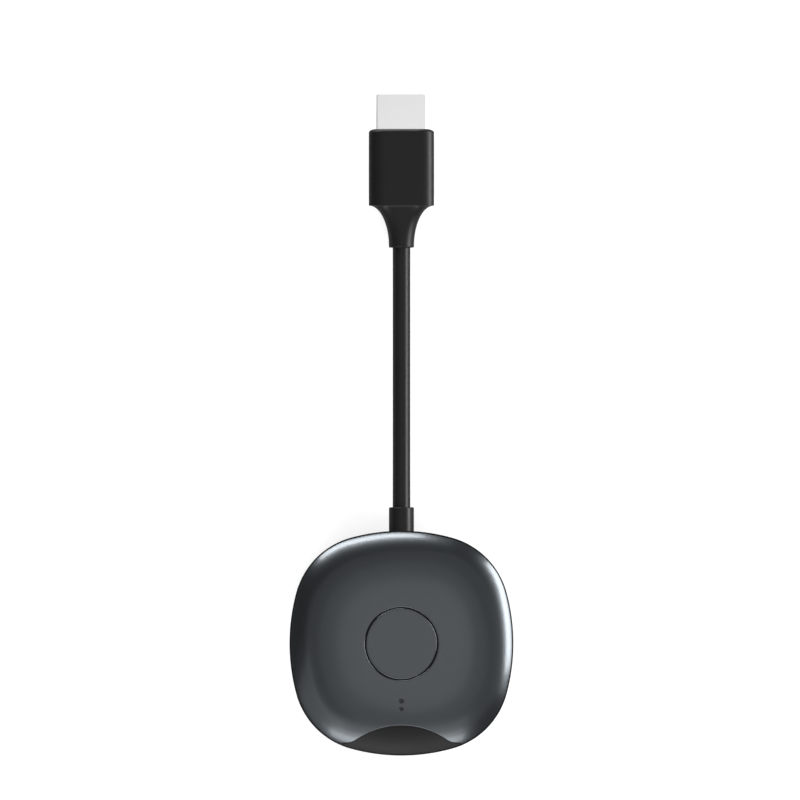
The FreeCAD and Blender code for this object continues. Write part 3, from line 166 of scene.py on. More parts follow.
class Finish:
    def __init__(self, name):
        self.material = bpy.data.materials.new(name)
        self.material.use_nodes = True
        self.tree = self.material.node_tree
        self.tree.nodes.clear()
        self.place = self.add("ShaderNodeTexCoord", output="Object")

    def add(self, kind, settings=None, inputs=None, output=0):
        node = self.tree.nodes.new(kind)
        for key, value in (settings or {}).items():
            setattr(node, key, value)
        for key, value in (inputs or {}).items():
            if isinstance(value, Signal):
                self.tree.links.new(value.socket, node.inputs[key])
            else:
                node.inputs[key].default_value = value
        if node.outputs:
            return Signal(self, node.outputs[output])

    def noise(self, scale, detail=3.0, stretch=None):
        source = self.place
        if stretch:
            source = self.add("ShaderNodeMapping", None, {"Vector": self.place, "Scale": stretch})
        return self.add("ShaderNodeTexNoise", None,
                        {"Vector": source, "Scale": scale, "Detail": detail, "Roughness": 0.5})

    def along(self, axis):
        return self.add("ShaderNodeSeparateXYZ", None, {"Vector": self.place}, output=axis)

    def blendTones(self, share, *tones):
        # inputs 6 and 7 of a Mix node are its colours, and output 2 is the blend
        first, second = (tone if isinstance(tone, Signal) else (*tone, 1) for tone in tones)
        return self.add("ShaderNodeMix", {"data_type": "RGBA", "clamp_factor": True},
                        {0: share, 6: first, 7: second}, output=2)

    def bump(self, height, depth, strength):
        return self.add("ShaderNodeBump", None,
                        {"Height": height, "Distance": depth, "Strength": strength})

    def surface(self, inputs):
        shader = self.add("ShaderNodeBsdfPrincipled", None, inputs)
        self.add("ShaderNodeOutputMaterial", None, {"Surface": shader})
        return self.material


# finishes, one for each slot of the record; lengths in them are in metres
noiseMiddle = 0.5
paint = {"tone": (0.0707, 0.0787, 0.0853), "dark": (0.0562, 0.0627, 0.0685),
         "flakeScale": 5200, "flakeShare": 0.7, "driftScale": 30, "driftShare": 0.3,
         "peelScale": 700, "peelDepth": 0.000004, "peelStrength": 0.15, "metal": 0.88,
         "roughness": 0.26, "unevenness": 0.06, "coat": 0.25, "coatRoughness": 0.12,
         # bare shade tone: the bare plastic in the button's groove, near black so that it also paints
         # shade into the groove
         "bareShadeTone": (0.008, 0.008, 0.008), "bareRoughness": 0.25,
         "bareShadeBelow": 0.01236, "bareShadeWithin": 0.0125}
plastic = {"slowBy": 60, "fineShare": 0.4, "slowShare": 0.6, "palest": 0.95, "unevenness": 0.1,
           "bumpStrength": 0.4}
metal = {"brushScale": 900, "cloudScale": 120, "share": 0.5, "unevenness": 0.12,
         "depth": 0.000002, "bumpStrength": 0.3}
tracked = {"scale": 260.0, "line": 0.012, "length": 0.9, "pitch": 0.22, "offset": 0.35,
           "trackShare": 0.8, "weaveScale": 2400, "weaveShare": 0.1, "roughness": 0.35,
           "unevenness": 0.1, "coat": 0.4, "depth": 0.00002, "bumpStrength": 0.4}
smoked = {"tones": ((0.012, 0.014, 0.017), (0.02, 0.022, 0.026)), "hazeScale": 500,
          "roughness": 0.2, "unevenness": 0.05, "through": 0.2, "specular": 0.16}


def coverPaint(name):
    finish = Finish(name)
    flake = finish.noise(paint["flakeScale"], 1.0)
    drift = finish.noise(paint["driftScale"], 2.0)
    peel = finish.noise(paint["peelScale"], 2.0)
    tone = finish.blendTones(flake * paint["flakeShare"] + drift * paint["driftShare"],
                             paint["dark"], paint["tone"])
    # the paint stops just inside the button's groove, where the plastic is bare; this near-black bare
    # plastic is also painted shade, darkening the groove's walls and all below them
    x, y, z = (finish.along(axis) for axis in "XYZ")
    fromMiddle = (x * x + y * y) ** 0.5
    painted = 1 - (z < paint["bareShadeBelow"]) * (fromMiddle < paint["bareShadeWithin"])
    roughness = paint["roughness"] + (drift - noiseMiddle) * paint["unevenness"]
    return finish.surface({"Base Color": finish.blendTones(painted, paint["bareShadeTone"], tone),
                           "Metallic": painted * paint["metal"],
                           "Roughness": roughness + (1 - painted) * paint["bareRoughness"],
                           "Coat Weight": painted * paint["coat"],
                           "Coat Roughness": paint["coatRoughness"],
                           "Normal": finish.bump(peel, paint["peelDepth"], paint["peelStrength"])})


def moulded(name, tone, roughness=0.5, grainScale=2600, grain=0.000006, mottle=0.12, specular=0.3):
    # moulded plastic, rubber, resin or ceramic: a fine spark-eroded grain over a slow drift of tone
    finish = Finish(name)
    fine = finish.noise(grainScale, 2.0)
    slow = finish.noise(grainScale / plastic["slowBy"])
    dark = tuple(channel * (1 - mottle) for channel in tone)
    light = tuple(min(channel * (1 + mottle), plastic["palest"]) for channel in tone)
    share = fine * plastic["fineShare"] + slow * plastic["slowShare"]
    return finish.surface({"Base Color": finish.blendTones(share, dark, light),
                           "Roughness": roughness + (slow - noiseMiddle) * plastic["unevenness"],
                           "Specular IOR Level": specular,
                           "Normal": finish.bump(fine, grain, plastic["bumpStrength"])})


def plated(name, tone, roughness=0.3, brush=(1, 14, 1), streak=0.07):
    # rolled or plated metal: long thin streaks along the rolling direction
    finish = Finish(name)
    lines = finish.noise(metal["brushScale"], 2.0, stretch=brush)
    cloud = finish.noise(metal["cloudScale"], 2.0)
    dark = tuple(channel * (1 - streak) for channel in tone)
    share = lines * metal["share"] + cloud * metal["share"]
    return finish.surface({"Base Color": finish.blendTones(share, dark, tone),
                           "Metallic": 1.0,
                           "Roughness": roughness + (lines - noiseMiddle) * metal["unevenness"],
                           "Normal": finish.bump(lines, metal["depth"], metal["bumpStrength"])})


def laminate(name, mask, copper):
    # solder mask over copper: straight tracks show as slightly paler lines
    finish = Finish(name)
    tracks = finish.add("ShaderNodeTexBrick", {"offset": tracked["offset"], "squash": 1.0},
                        {"Vector": finish.place, "Scale": tracked["scale"],
                         "Mortar Size": tracked["line"], "Brick Width": tracked["length"],
                         "Row Height": tracked["pitch"]}, output="Fac")
    weave = finish.noise(tracked["weaveScale"], 1.0)
    share = tracks * tracked["trackShare"] + weave * tracked["weaveShare"]
    return finish.surface({"Base Color": finish.blendTones(share, mask, copper),
                           "Roughness": tracked["roughness"] + weave * tracked["unevenness"],
                           "Coat Weight": tracked["coat"],
                           "Normal": finish.bump(tracks, tracked["depth"], tracked["bumpStrength"])})


def lens(name):
    # smoked clear plastic: dark and glossy, a little light comes through
    finish = Finish(name)
    haze = finish.noise(smoked["hazeScale"], 2.0)
    return finish.surface({"Base Color": finish.blendTones(haze, *smoked["tones"]),
                           "Roughness": smoked["roughness"] + haze * smoked["unevenness"],
                           "Transmission Weight": smoked["through"],
                           "Specular IOR Level": smoked["specular"]})


finishes = {
    "cover_paint": coverPaint("cover_paint"),
    "black_plastic": moulded("black_plastic", (0.005, 0.005, 0.0052), 0.46, specular=0.2),
    "foot_rubber": moulded("foot_rubber", (0.014, 0.014, 0.014), 0.8, grainScale=1800, grain=0.00001),
    "label_film": moulded("label_film", (0.035, 0.035, 0.036), 0.38, grainScale=1200, grain=0.000002),
    "screw_steel": plated("screw_steel", (0.16, 0.16, 0.17), 0.35, brush=(1, 1, 8)),
    "guide_plastic": moulded("guide_plastic", (0.06, 0.06, 0.064), 0.45),
    "switch_plastic": moulded("switch_plastic", (0.03, 0.03, 0.031), 0.5),
    "tin_plate": plated("tin_plate", (0.75, 0.75, 0.74), 0.28),
    "spring_steel": plated("spring_steel", (0.62, 0.61, 0.6), 0.2),
    "smoked_lens": lens("smoked_lens"),
    "lamp_resin": moulded("lamp_resin", (0.8, 0.76, 0.55), 0.25, grainScale=900, mottle=0.05,
                          specular=0.5),
    "board_laminate": laminate("board_laminate", (0.008, 0.045, 0.022), (0.03, 0.12, 0.05)),
    "chip_epoxy": moulded("chip_epoxy", (0.02, 0.02, 0.021), 0.62, grainScale=4200),
    "thermal_silicone": moulded("thermal_silicone", (0.42, 0.47, 0.56), 0.75, grainScale=1500),
    "sink_aluminium": plated("sink_aluminium", (0.06, 0.06, 0.064), 0.42, brush=(14, 1, 14)),
    "coil_ferrite": moulded("coil_ferrite", (0.1, 0.1, 0.1), 0.7, grainScale=3200, mottle=0.25),
    "capacitor_ceramic": moulded("capacitor_ceramic", (0.42, 0.31, 0.2), 0.45, grainScale=3000),
    "capacitor_resin": moulded("capacitor_resin", (0.7, 0.46, 0.07), 0.35, grainScale=2000),
    "port_steel": plated("port_steel", (0.6, 0.6, 0.6), 0.25),
    "port_plastic": moulded("port_plastic", (0.016, 0.016, 0.016), 0.5),
    "contact_gold": plated("contact_gold", (0.85, 0.6, 0.24), 0.22, brush=(1, 10, 1)),
    "antenna_flex": moulded("antenna_flex", (0.05, 0.03, 0.012), 0.35, grainScale=800, mottle=0.3),
    "lead_jacket": moulded("lead_jacket", (0.02, 0.02, 0.02), 0.35),
    "cable_vinyl": moulded("cable_vinyl", (0.005, 0.005, 0.005), 0.4, grainScale=3400, grain=0.000004,
                           specular=0.28),
    "clamp_steel": plated("clamp_steel", (0.5, 0.5, 0.49), 0.32, brush=(14, 1, 1)),
    "wire_insulation": moulded("wire_insulation", (0.5, 0.5, 0.52), 0.3, grainScale=700, mottle=0.2),
    "plug_vinyl": moulded("plug_vinyl", (0.0035, 0.0035, 0.0035), 0.42, grainScale=3400,
                          grain=0.000004, specular=0.28),
    "plug_steel": plated("plug_steel", (0.94, 0.94, 0.94), 0.2, brush=(1, 9, 1), streak=0.04),
    "mould_plastic": moulded("mould_plastic", (0.75, 0.75, 0.72), 0.5, mottle=0.06),
}
print("finishes made:", len(finishes))


# sections across the cable's line: a rounded box, or one with its two lower corners cut off
outlineSteps = {"arc": 9, "side": 6, "nearCorner": 0.01, "leastFlat": 0.02}


def section(width, height, radius, bevel=0.0, lift=0.0, reach=None):
    # a corner is a quarter of an ellipse, radius high and reach wide
    halfX, halfZ = width / 2, height / 2
    leastFlat, near = outlineSteps["leastFlat"], outlineSteps["nearCorner"]
    reach = min(reach or radius, halfX - leastFlat)
    radius = min(radius, halfX - leastFlat, halfZ - leastFlat)
    reach = max(reach, radius)
    corners = []
    for sideX, sideZ, first in ((1, 1, 0), (-1, 1, 90), (-1, -1, 180), (1, -1, 270)):
        turn = np.radians(np.linspace(first, first + 90, outlineSteps["arc"]))
        x = sideX * (halfX - reach) + reach * np.cos(turn)
        z = sideZ * (halfZ - radius) + radius * np.sin(turn)
        if bevel and sideZ < 0:
            share = np.linspace(0, 1, outlineSteps["arc"])
            if sideX > 0:
                share = share[::-1]
            x = sideX * (halfX - bevel * share)
            z = -halfZ + bevel * (1 - share)
        corners.append(np.stack([x, z], axis=-1))
    # a point close to each corner keeps the flat side's shading flat
    share = np.concatenate([[near], np.linspace(0, 1, outlineSteps["side"])[1:-1], [1 - near]])[:, None]
    points = []
    for corner, following in zip(corners, corners[1:] + corners[:1]):
        points += [corner, corner[-1] + (following[0] - corner[-1]) * share]
    return np.vstack(points) + np.array([0, lift])


# cable: one straight run from the board's clamp to the plug's shield
cable = {"width": 4.9, "height": 4.5, "start": 22.5, "end": 122.25, "exit": 37.75,
         "points": (22.5, 37.75, 62, 86, 104, 122.25), "order": 3, "resolution": 8}


def carried(stations):
    # sections in order along y, each (y, width, height, radius, bevel, lift, reach)
    rows = []
    for y, *shape in stations:
        points = section(*shape)
        rows.append(np.stack([points[:, 0], y + 0 * points[:, 0], cable["height"] + points[:, 1]],
                             axis=-1))
    return np.array(rows)


def layCable():
    curve = bpy.data.curves.new("route", "CURVE")
    curve.dimensions = "3D"
    spline = curve.splines.new("NURBS")
    spline.points.add(len(cable["points"]) - 1)
    for point, y in zip(spline.points, cable["points"]):
        point.co = (0, y * mm, cable["height"] * mm, 1)
    spline.order_u = cable["order"]
    spline.use_endpoint_u = True
    spline.resolution_u = cable["resolution"]
    route = bpy.data.objects.new("route", curve)
    line = [tuple(vertex.co) for vertex in bpy.data.meshes.new_from_object(route).vertices]
    bpy.data.objects.remove(route)
    width = cable["width"]
    stations = [(point[1] / mm, width, width, width / 2) for point in line]
    return addObject("cable", [(carried(stations)[:, ::-1], False, True)], 40), line


cablePiece, cableLine = layCable()
place(cablePiece, "cable_jacket")
print("cable laid")


# receiver's outline: three arcs in each quarter, as a distance from the middle
receiver = {"halfWidth": 31.1, "halfLength": 31.2, "sideArc": 54.1, "endArc": 52.7, "cornerArc": 21.6,
            "parting": 8.0, "height": 12.6, "power": 6, "flatShare": 22.4 / 62.2}


def outlineRadius(turn, inset):
    side = receiver["sideArc"] - inset
    end = receiver["endArc"] - inset
    corner = receiver["cornerArc"] - inset
    sideX = receiver["halfWidth"] - inset - side
    endY = receiver["halfLength"] - inset - end
    # the corner arc's centre lies side - corner from one centre and end - corner from the other
    span = math.hypot(sideX, endY)
    sideReach, endReach = side - corner, end - corner
    along = (sideReach ** 2 - endReach ** 2 + span ** 2) / (2 * span)
    aside = math.sqrt(sideReach ** 2 - along ** 2)
    cornerX = sideX + (along * -sideX + aside * -endY) / span
    cornerY = (along * endY + aside * -sideX) / span
    low = math.atan2(cornerY, cornerX - sideX)
    high = math.atan2(cornerY - endY, cornerX)
    lowTurn = math.atan2(cornerY + corner * math.sin(low), cornerX + corner * math.cos(low))
    highTurn = math.atan2(cornerY + corner * math.sin(high), cornerX + corner * math.cos(high))
    x, y = np.abs(np.cos(turn)), np.abs(np.sin(turn))
    quarter = np.arctan2(y, x)

    def reach(centreX, centreY, radius):
        # where a ray from the middle leaves the arc's circle
        ahead = centreX * x + centreY * y
        return ahead + np.sqrt(ahead ** 2 - centreX ** 2 - centreY ** 2 + radius ** 2)

    return np.where(quarter < lowTurn, reach(sideX, 0, side),
                    np.where(quarter < highTurn, reach(cornerX, cornerY, corner), reach(0, endY, end)))


def rollHeight(share, top):
    # level in the middle; the drop grows with the sixth power of the share of the way out
    flat = receiver["flatShare"] ** receiver["power"]
    rise = np.clip((1 - share ** receiver["power"]) / (1 - flat), 0, 1)
    return receiver["parting"] + rise * (top - receiver["parting"])


# top cover: from the button's hole out over the roll, round its edge and back underneath
cover = {"lip": 0.3, "skirt": 0.65, "wall": 1.3, "hole": 10.14, "holeRound": 0.26, "holeLand": 0.5,
         "bellRound": 0.26, "rimRound": 0.06, "leastStep": 0.01,
         "besideSteps": 560, "acrossSteps": 200, "tipGap": 0.0004, "onRim": 1e-6,
         "roundSteps": 6, "roofRows": 81, "crowding": 0.8, "insideRows": 20}
bell = {"crestReach": 22.8, "crestRadius": 21.8, "flareRadius": 5.0, "depth": 5.0, "tip": 0.8,
        "gap": 0.1, "samples": 2000, "far": 99}
post = {"share": 0.595, "radius": 2.6, "top": 11.0, "low": 5.0, "sink": 0.2, "pilot": 1.06,
        "pilotDepth": 1.6, "pilotEnd": 1.65, "steps": 48}


def bellRadius(turn):
    # distance from the middle to the bell-shaped edge, or far away beside it
    crest, flare = bell["crestRadius"] + bell["gap"], bell["flareRadius"] - bell["gap"]
    crestY = -(bell["crestReach"] + bell["crestRadius"])
    flareY = -(bell["crestReach"] + bell["depth"] - bell["flareRadius"])
    angle = math.acos((flareY - crestY) / (crest + flare))
    flareX = (crest + flare) * math.sin(angle)
    joinX = crest * math.sin(angle)
    x = np.linspace(0, flareX + bell["tip"] + bell["gap"], bell["samples"])
    onCrest = crestY + np.sqrt(np.maximum(crest ** 2 - x ** 2, 0))
    onFlare = flareY - np.sqrt(np.maximum(flare ** 2 - (x - flareX) ** 2, 0))
    y = np.where(x < joinX, onCrest, np.where(x < flareX, onFlare, flareY - flare))
    fromDown = np.abs((turn + math.pi / 2 + math.pi) % (2 * math.pi) - math.pi)
    edgeTurn = np.arctan2(x, -y)
    radius = np.interp(fromDown, edgeTurn, np.hypot(x, y))
    return np.where(fromDown <= edgeTurn[-1], radius, bell["far"]), edgeTurn[-1]


def coverSurface():
    down = 1.5 * math.pi
    tip = bellRadius(np.array([0.0]))[1]
    beside = np.linspace(-math.pi / 2 + tip + cover["tipGap"], down - tip - cover["tipGap"],
                         cover["besideSteps"])
    across = np.linspace(-tip, tip, cover["acrossSteps"]) + down
    turn = np.concatenate([beside, across])
    rim = outlineRadius(turn, cover["lip"])
    edge = np.minimum(rim, bellRadius(turn)[0])
    under = outlineRadius(turn, cover["lip"] + cover["skirt"])
    onBell = edge < rim - cover["onRim"]
    top, power = receiver["height"], receiver["power"]
    roof = top - cover["wall"]
    # the roll's slope at the edge is power x drop / rim x (edge / rim) to the power less one
    slope = power * (top - receiver["parting"]) / rim * (edge / rim) ** (power - 1)
    tilt = np.arctan(slope)
    roundOff = np.where(onBell, cover["bellRound"], cover["rimRound"])
    outer = edge - roundOff * (1 - np.sin(tilt))
    hole, holeRound = cover["hole"], cover["holeRound"]
    # the hole's wall and its rounded lip
    rows = [(hole + 0 * turn, roof + 0 * turn), (hole + 0 * turn, top - holeRound + 0 * turn)]
    for angle in np.radians(np.linspace(15, 90, cover["roundSteps"])):
        rows.append((hole + holeRound * (1 - np.cos(angle)) + 0 * turn,
                     top - holeRound * (1 - np.sin(angle)) + 0 * turn))
    # the roof, with more rows towards the edge
    for share in np.linspace(0, 1, cover["roofRows"])[1:] ** cover["crowding"]:
        radius = hole + holeRound + (outer - hole - holeRound) * share
        rows.append((radius, rollHeight(radius / rim, top)))
    # the rounded edge, from the roof's tilt to upright
    outerHeight = rows[-1][1]
    for share in np.linspace(0, 1, cover["roundSteps"])[1:]:
        angle = tilt + (math.pi / 2 - tilt) * share
        rows.append((outer + roundOff * (np.sin(angle) - np.sin(tilt)),
                     outerHeight - roundOff * (np.cos(tilt) - np.cos(angle))))
    lowEdge = np.where(onBell, rollHeight(np.minimum(edge / under, 1), roof), receiver["parting"])
    rows.append((edge, np.minimum(lowEdge, rows[-1][1] - cover["leastStep"])))
    # the underside, back to the hole
    inner = np.minimum(edge - cover["leastStep"], under)
    land = hole + cover["holeLand"]
    for share in np.linspace(1, 0, cover["insideRows"]):
        radius = land + (inner - land) * share
        rows.append((radius, rollHeight(radius / under, roof)))
    radius = np.array([row[0] for row in rows])
    height = np.array([row[1] for row in rows])
    return np.stack([radius * np.cos(turn), radius * np.sin(turn), height], axis=-1)


def coverPosts():
    top, outerRadius, pilot = post["top"], post["radius"], post["pilot"]
    profile = [(outerRadius, top), (outerRadius, post["low"]), (pilot, post["low"]),
               (pilot, top - post["pilotDepth"]), (pilot / 2, top - post["pilotEnd"]), (pilot / 2, top)]
    parts = []
    for sideX in (-1, 1):
        for sideY in (-1, 1):
            rows = spin(profile, sideX * post["share"] * receiver["halfWidth"],
                        sideY * post["share"] * receiver["halfLength"], post["steps"])
            for row in (0, -1):  # the top follows the cover's roof
                x, y = rows[row, :, 0], rows[row, :, 1]
                share = np.hypot(x, y) / outlineRadius(np.arctan2(y, x), cover["lip"] + cover["skirt"])
                rows[row, :, 2] = rollHeight(share, receiver["height"] - cover["wall"]) + post["sink"]
            parts.append((rows[::-1], True, True))
    return parts


coverPiece = addObject("cover", [(coverSurface(), True, True)], 40)
print("cover shaped")


def cutAway(piece, grids, closeRows=False):
    # each grid is a closed solid that is taken away from the piece
    for grid in grids:
        cutter = addObject("cutter", [(grid, closeRows, True)])
        modifier = piece.modifiers.new("cut", "BOOLEAN")
        modifier.operation = "DIFFERENCE"
        modifier.solver = "EXACT"
        modifier.object = cutter
        done = bpy.data.meshes.new_from_object(piece.evaluated_get(bpy.context.evaluated_depsgraph_get()))
        piece.modifiers.clear()
        piece.data = done
        bpy.data.objects.remove(cutter)
    piece.data.name = piece.name


lights = {"places": ((-15.9, 0.7), (-18.1, 0.6)), "low": 9.0, "high": 14.0, "steps": 48}
cutAway(coverPiece, [spin([(radius, lights["low"]), (radius, lights["high"])], 0, y, lights["steps"])
                     for y, radius in lights["places"]])
posts = addObject("posts", coverPosts(), 40)
joined = bmesh.new()
joined.from_mesh(coverPiece.data)
joined.from_mesh(posts.data)
joined.to_mesh(coverPiece.data)
joined.free()
bpy.data.objects.remove(posts)
place(coverPiece, "top_cover")
print("light holes drilled and posts added")


# button: a turned cap with its skirt, flange and middle post
button = {"radius": 9.86, "edge": 0.26, "top": 12.6, "face": 1.2, "flatInsets": (3, 1),
          "skirtOut": 9.6, "skirtIn": 8.4, "flange": 11.2, "flangeTop": 11.2, "flangeLow": 10.1,
          "post": 2.0, "postLow": 8.57, "edgeSteps": 7, "steps": 256}
faceLow = button["top"] - button["face"]
profile = [(button["post"], button["top"])]
profile += [(button["radius"] - inset, button["top"]) for inset in button["flatInsets"]]
profile += bend(button["radius"] - button["edge"], button["top"] - button["edge"], button["edge"],
                90, 0, button["edgeSteps"])
profile += [(button["radius"], faceLow), (button["skirtOut"], faceLow),
            (button["skirtOut"], button["flangeTop"]), (button["flange"], button["flangeTop"]),
            (button["flange"], button["flangeLow"]), (button["skirtIn"], button["flangeLow"]),
            (button["skirtIn"], faceLow), (button["post"], faceLow), (button["post"], button["postLow"])]
buttonRows = spin(profile, steps=button["steps"])[::-1]
place(addObject("button", [(buttonRows, False, True)], 40), "button_cap")
print("button turned")


# plug: its neck, curved shoulders and body, then back through its bore and the shield's room
plug = {"neckEnd": 110.0, "neck": 7.0, "neckRound": 0.3, "shoulder": 110.4, "shoulderLength": 11.3,
        "width": 18.16, "thickness": 9.0, "edge": 3.0, "edgeReach": 4.5,
        "front": 142.9, "frontRound": 1.0, "frontInset": 1.8, "bore": 5.0,
        "canWide": 14.7, "canHigh": 5.25, "canRound": 0.45, "canBack": 122.25, "canFront": 141.95,
        "metalWide": 14.0, "metalHigh": 4.55, "metalRadius": 0.3, "metalBevel": 1.38,
        "neckSteps": 6, "shoulderSteps": 33, "bodySteps": 9, "frontSteps": 11}


def plugStations():
    stations = []
    neck, halfNeck = plug["neck"], plug["neck"] / 2
    for turn in np.radians(np.linspace(0, 90, plug["neckSteps"])):
        width = neck - 2 * plug["neckRound"] * (1 - math.sin(turn))
        y = plug["neckEnd"] + plug["neckRound"] * (1 - math.cos(turn))
        stations.append((y, width, width, width / 2))
    for turn in np.radians(np.linspace(0, 90, plug["shoulderSteps"])):
        out = 1 - math.cos(turn)
        stations.append((plug["shoulder"] + plug["shoulderLength"] * math.sin(turn),
                         neck + out * (plug["width"] - neck), neck + out * (plug["thickness"] - neck),
                         halfNeck + out * (plug["edge"] - halfNeck), 0.0, 0.0,
                         halfNeck + out * (plug["edgeReach"] - halfNeck)))
    bodyStart = plug["shoulder"] + plug["shoulderLength"]
    for share in np.linspace(0, 1, plug["bodySteps"])[1:]:
        y = bodyStart + (plug["front"] - plug["frontRound"] - bodyStart) * share
        stations.append((y, plug["width"], plug["thickness"], plug["edge"], 0.0, 0.0, plug["edgeReach"]))
    for turn in np.radians(np.linspace(0, 90, plug["frontSteps"])[1:]):
        out = 1 - math.cos(turn)
        inset = plug["frontRound"] * out
        stations.append((plug["front"] - plug["frontRound"] * (1 - math.sin(turn)),
                         plug["width"] - 2 * plug["frontInset"] * out, plug["thickness"] - 2 * inset,
                         plug["edge"] - inset, 0.0, 0.0, plug["edgeReach"] - plug["frontInset"] * out))
    metalHole = (plug["metalWide"], plug["metalHigh"], plug["metalRadius"], plug["metalBevel"])
    can = (plug["canWide"], plug["canHigh"], plug["canRound"])
    bore = (plug["bore"], plug["bore"], plug["bore"] / 2)
    stations += [(plug["front"], *metalHole), (plug["canFront"], *metalHole), (plug["canFront"], *can),
                 (plug["canBack"], *can), (plug["canBack"], *bore), (plug["neckEnd"], *bore)]
    return stations


place(addObject("plug_body", [(carried(plugStations())[:, ::-1], True, True)], 30), "plug_overmould")

metalShell = {"root": 136.4, "tip": 152.6, "wide": 13.9, "high": 4.45, "edge": 0.25, "innerEdge": 0.12,
              "bevel": 1.35, "wall": 0.35, "bevelLoss": 0.59, "lipRound": 0.12, "steps": 7}
wall, lip = metalShell["wall"], metalShell["lipRound"]
wide, high, bevel = metalShell["wide"], metalShell["high"], metalShell["bevel"]
outside = (wide, high, metalShell["edge"], bevel)
lipSize = (wide - 2 * lip, high - 2 * lip, metalShell["edge"], bevel)
inside = (wide - 2 * wall, high - 2 * wall, metalShell["innerEdge"],
          bevel - metalShell["bevelLoss"] * wall)
lengths = np.linspace(metalShell["root"], metalShell["tip"] - lip, metalShell["steps"])
stations = [(y, *outside) for y in lengths] + [(metalShell["tip"], *lipSize)]
stations += [(metalShell["tip"], *inside), (metalShell["root"], *inside)]
place(addObject("plug_shell", [(carried(stations)[:, ::-1], True, True)], 30), "plug_metal_shell")


# collar: round outside the casing, then its neck through the wall and its flange inside;
# a corner radius beyond half the width makes a section round
collar = {"flangeBack": 27.65, "flangeFront": 29.0, "wallOut": 31.25, "front": 37.75,
          "flange": (9.0, 6.0, 0.2, 0.0, 0.45), "neck": (5.7, 6.28, 0.15, 1.5, 0.29),
          "width": 6.95, "bore": 5.0, "round": 9, "endRound": 0.3, "endSteps": 6, "gap": 0.02}
bore = (collar["bore"], collar["bore"], collar["round"])
stations = [(collar["flangeBack"], *bore), (collar["flangeBack"], *collar["flange"]),
            (collar["flangeFront"], *collar["flange"]), (collar["flangeFront"], *collar["neck"]),
            (collar["wallOut"], *collar["neck"]),
            (collar["wallOut"], collar["width"], collar["width"], collar["round"])]
for turn in np.radians(np.linspace(0, 90, collar["endSteps"])):
    width = collar["width"] - 2 * collar["endRound"] * (1 - math.cos(turn))
    y = collar["front"] - collar["endRound"] * (1 - math.sin(turn))
    stations.append((y, width, width, collar["round"]))
stations.append((collar["front"], *bore))
collarRows = carried(stations)
# its face on the casing follows the casing's curve, a hair away from it
x, y = collarRows[:, :, 0], collarRows[:, :, 1]
casingY = receiver["halfLength"] - receiver["endArc"] + np.sqrt(receiver["endArc"] ** 2 - x ** 2)
collarRows[:, :, 1] = np.where(np.isclose(y, collar["wallOut"]), casingY + collar["gap"], y)
place(addObject("collar", [(collarRows[:, ::-1], True, True)], 30), "strain_relief")
print("plug and collar shaped")


# CAD nodes that keep their shape: merged copies with smooth roundings, or just the finish
polish = {"weld": 0.000002, "sharpAngle": 28}


def polished(node):
    mesh = frame["nodes"][node].data.copy()
    copy = bpy.data.objects.new(node + "_smooth", mesh)
    bpy.context.scene.collection.objects.link(copy)
    weld = copy.modifiers.new("weld", "WELD")
    weld.merge_threshold = polish["weld"]
    done = bpy.data.meshes.new_from_object(copy.evaluated_get(bpy.context.evaluated_depsgraph_get()))
    copy.modifiers.clear()
    copy.data = done
    if "custom_normal" in done.attributes:
        done.attributes.remove(done.attributes["custom_normal"])
    done.shade_smooth()
    done.set_sharp_from_angle(angle=math.radians(polish["sharpAngle"]))
    return place(copy, node)


tray = polished("lower_tray")
polished("rubber_foot")
polished("power_port_shell")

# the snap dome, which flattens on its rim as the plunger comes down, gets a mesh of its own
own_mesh(polished("switch_dome"))

# a narrow gutter just inside the tray's rim, where the cover's edge comes down, reads as a black line
gutter = {"outer": 0.03, "inner": 0.31, "low": 7.4, "rim": 8.0, "high": 9.2, "steps": 720}


def gutterRing():
    turn = np.linspace(0, 2 * math.pi, gutter["steps"], endpoint=False)
    rows = [(gutter["inner"], gutter["low"]), (gutter["outer"], gutter["rim"]),
            (gutter["outer"], gutter["high"]), (gutter["inner"], gutter["high"])]
    reach = np.array([outlineRadius(turn, inset) for inset, height in rows])
    height = np.array([height for inset, height in rows])[:, None] + 0 * turn
    return np.stack([reach * np.cos(turn), reach * np.sin(turn), height], axis=-1)


cutAway(tray, [gutterRing()], closeRows=True)
tray.data.shade_smooth()
tray.data.set_sharp_from_angle(angle=math.radians(polish["sharpAngle"]))
print("gutter cut")

for node, piece in frame["nodes"].items():
    for materialSlot in piece.material_slots:
        materialSlot.material = finishes[slotOf[node]]
print("nodes finished")


# floor: pale and plain, with a glow that only the camera and clear plastic see
floor = {"reach": 5.0, "drop": 0.1, "tone": 0.54, "speckTone": 0.55, "speckScale": 40, "glow": 0.66}
ground = Finish("floor")
speck = ground.noise(floor["speckScale"], 2.0)
sheen = ground.add("ShaderNodeBsdfDiffuse", None,
                   {"Color": ground.blendTones(speck, (floor["tone"],) * 3, (floor["speckTone"],) * 3)})
cameraRay = ground.add("ShaderNodeLightPath", output="Is Camera Ray")
transmissionRay = Signal(ground, cameraRay.socket.node.outputs["Is Transmission Ray"])
glow = ground.add("ShaderNodeEmission", None,
                  {"Color": (1, 1, 1, 1), "Strength": (cameraRay + transmissionRay) * floor["glow"]})
ground.add("ShaderNodeOutputMaterial", None,
           {"Surface": ground.add("ShaderNodeAddShader", None, {0: sheen, 1: glow})})
side = np.array([-floor["reach"], floor["reach"]]) / mm
floorPiece = addObject("floor", [(np.stack([np.array([[x, x] for x in side]), np.array([side, side]),
                                            np.full((2, 2), -floor["drop"])], axis=-1), False, False)])
floorPiece.data.flip_normals()
floorPiece.data.materials.append(ground.material)

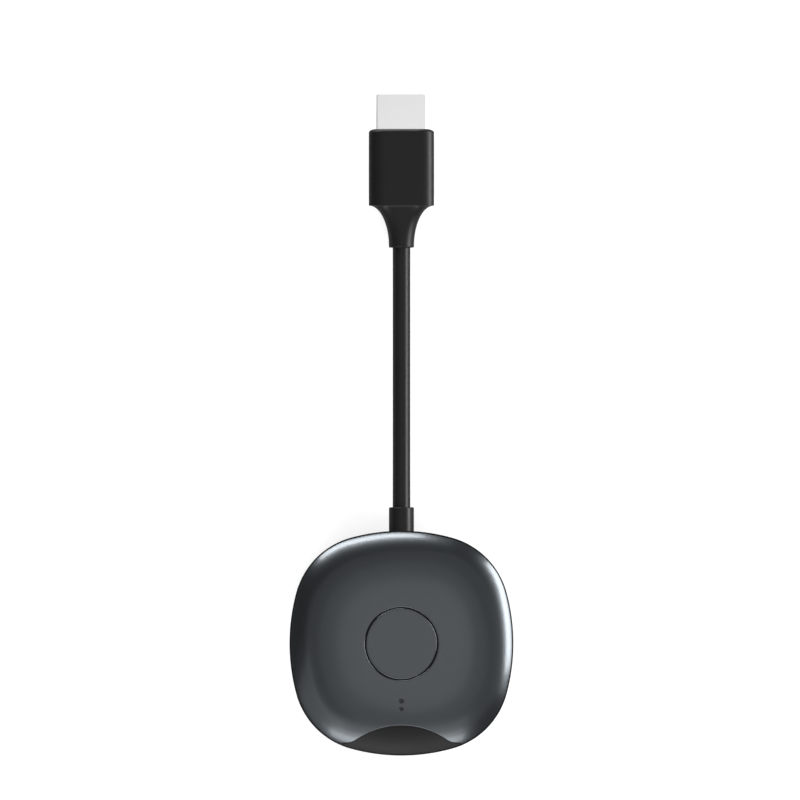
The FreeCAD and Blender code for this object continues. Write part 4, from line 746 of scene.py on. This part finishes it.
# soft studio light: azimuth 0 is the right of the picture, 90 the plug's end; sizes in metres
lampAim = (0, 0.03, 0)
lamps = {
    "overheadCore": {"azimuth": -48, "elevation": 86, "distance": 1.5, "width": 0.42, "length": 0.42,
                     "radiance": 0.66},
    "overheadMiddle": {"azimuth": -52, "elevation": 84.5, "distance": 1.5, "width": 1.2, "length": 1.2,
                       "radiance": 0.25},
    "overheadWide": {"azimuth": -60, "elevation": 80, "distance": 1.5, "width": 3.0, "length": 3.0,
                     "radiance": 0.28},
    "rightStrip": {"azimuth": 14, "elevation": 15.5, "distance": 1.4, "width": 1.28, "length": 0.34,
                   "radiance": 19.0},
    "plugEnd": {"azimuth": 109, "elevation": 17, "distance": 1.4, "width": 1.32, "length": 0.24,
                "radiance": 19.2},
    "nearEnd": {"azimuth": 266, "elevation": 24, "distance": 1.4, "width": 1.5, "length": 0.4,
                "radiance": 6.0},
    "nearMiddle": {"azimuth": 268, "elevation": 37, "distance": 1.4, "width": 1.4, "length": 0.26,
                   "radiance": 2.2},
    "nearLeft": {"azimuth": 216, "elevation": 32, "distance": 1.4, "width": 1.0, "length": 1.0,
                 "radiance": 0.75},
    "nearHigh": {"azimuth": 270, "elevation": 50, "distance": 1.4, "width": 1.2, "length": 0.5,
                 "radiance": 0.8},
}
for name, lamp in lamps.items():
    light = bpy.data.lights.new(name, "AREA")
    light.shape = "RECTANGLE"
    light.size, light.size_y = lamp["width"], lamp["length"]
    # an area lamp's power is its radiance x pi x its area
    light.energy = lamp["radiance"] * math.pi * lamp["width"] * lamp["length"]
    holder = bpy.data.objects.new(name, light)
    bpy.context.scene.collection.objects.link(holder)
    azimuth, elevation = math.radians(lamp["azimuth"]), math.radians(lamp["elevation"])
    out = np.array([math.cos(elevation) * math.cos(azimuth), math.cos(elevation) * math.sin(azimuth),
                    math.sin(elevation)])
    holder.location = out * lamp["distance"] + np.array(lampAim)
    holder.rotation_euler = (math.pi / 2 - elevation, 0, azimuth + math.pi / 2)
    holder.visible_camera = False

worldGlow = 0.1
world = bpy.data.worlds.new("studio")
bpy.context.scene.world = world
world.use_nodes = True
background = world.node_tree.nodes["Background"]
background.inputs["Color"].default_value = (1, 1, 1, 1)
background.inputs["Strength"].default_value = worldGlow
print("studio lit")

bpy.context.view_layer.update()
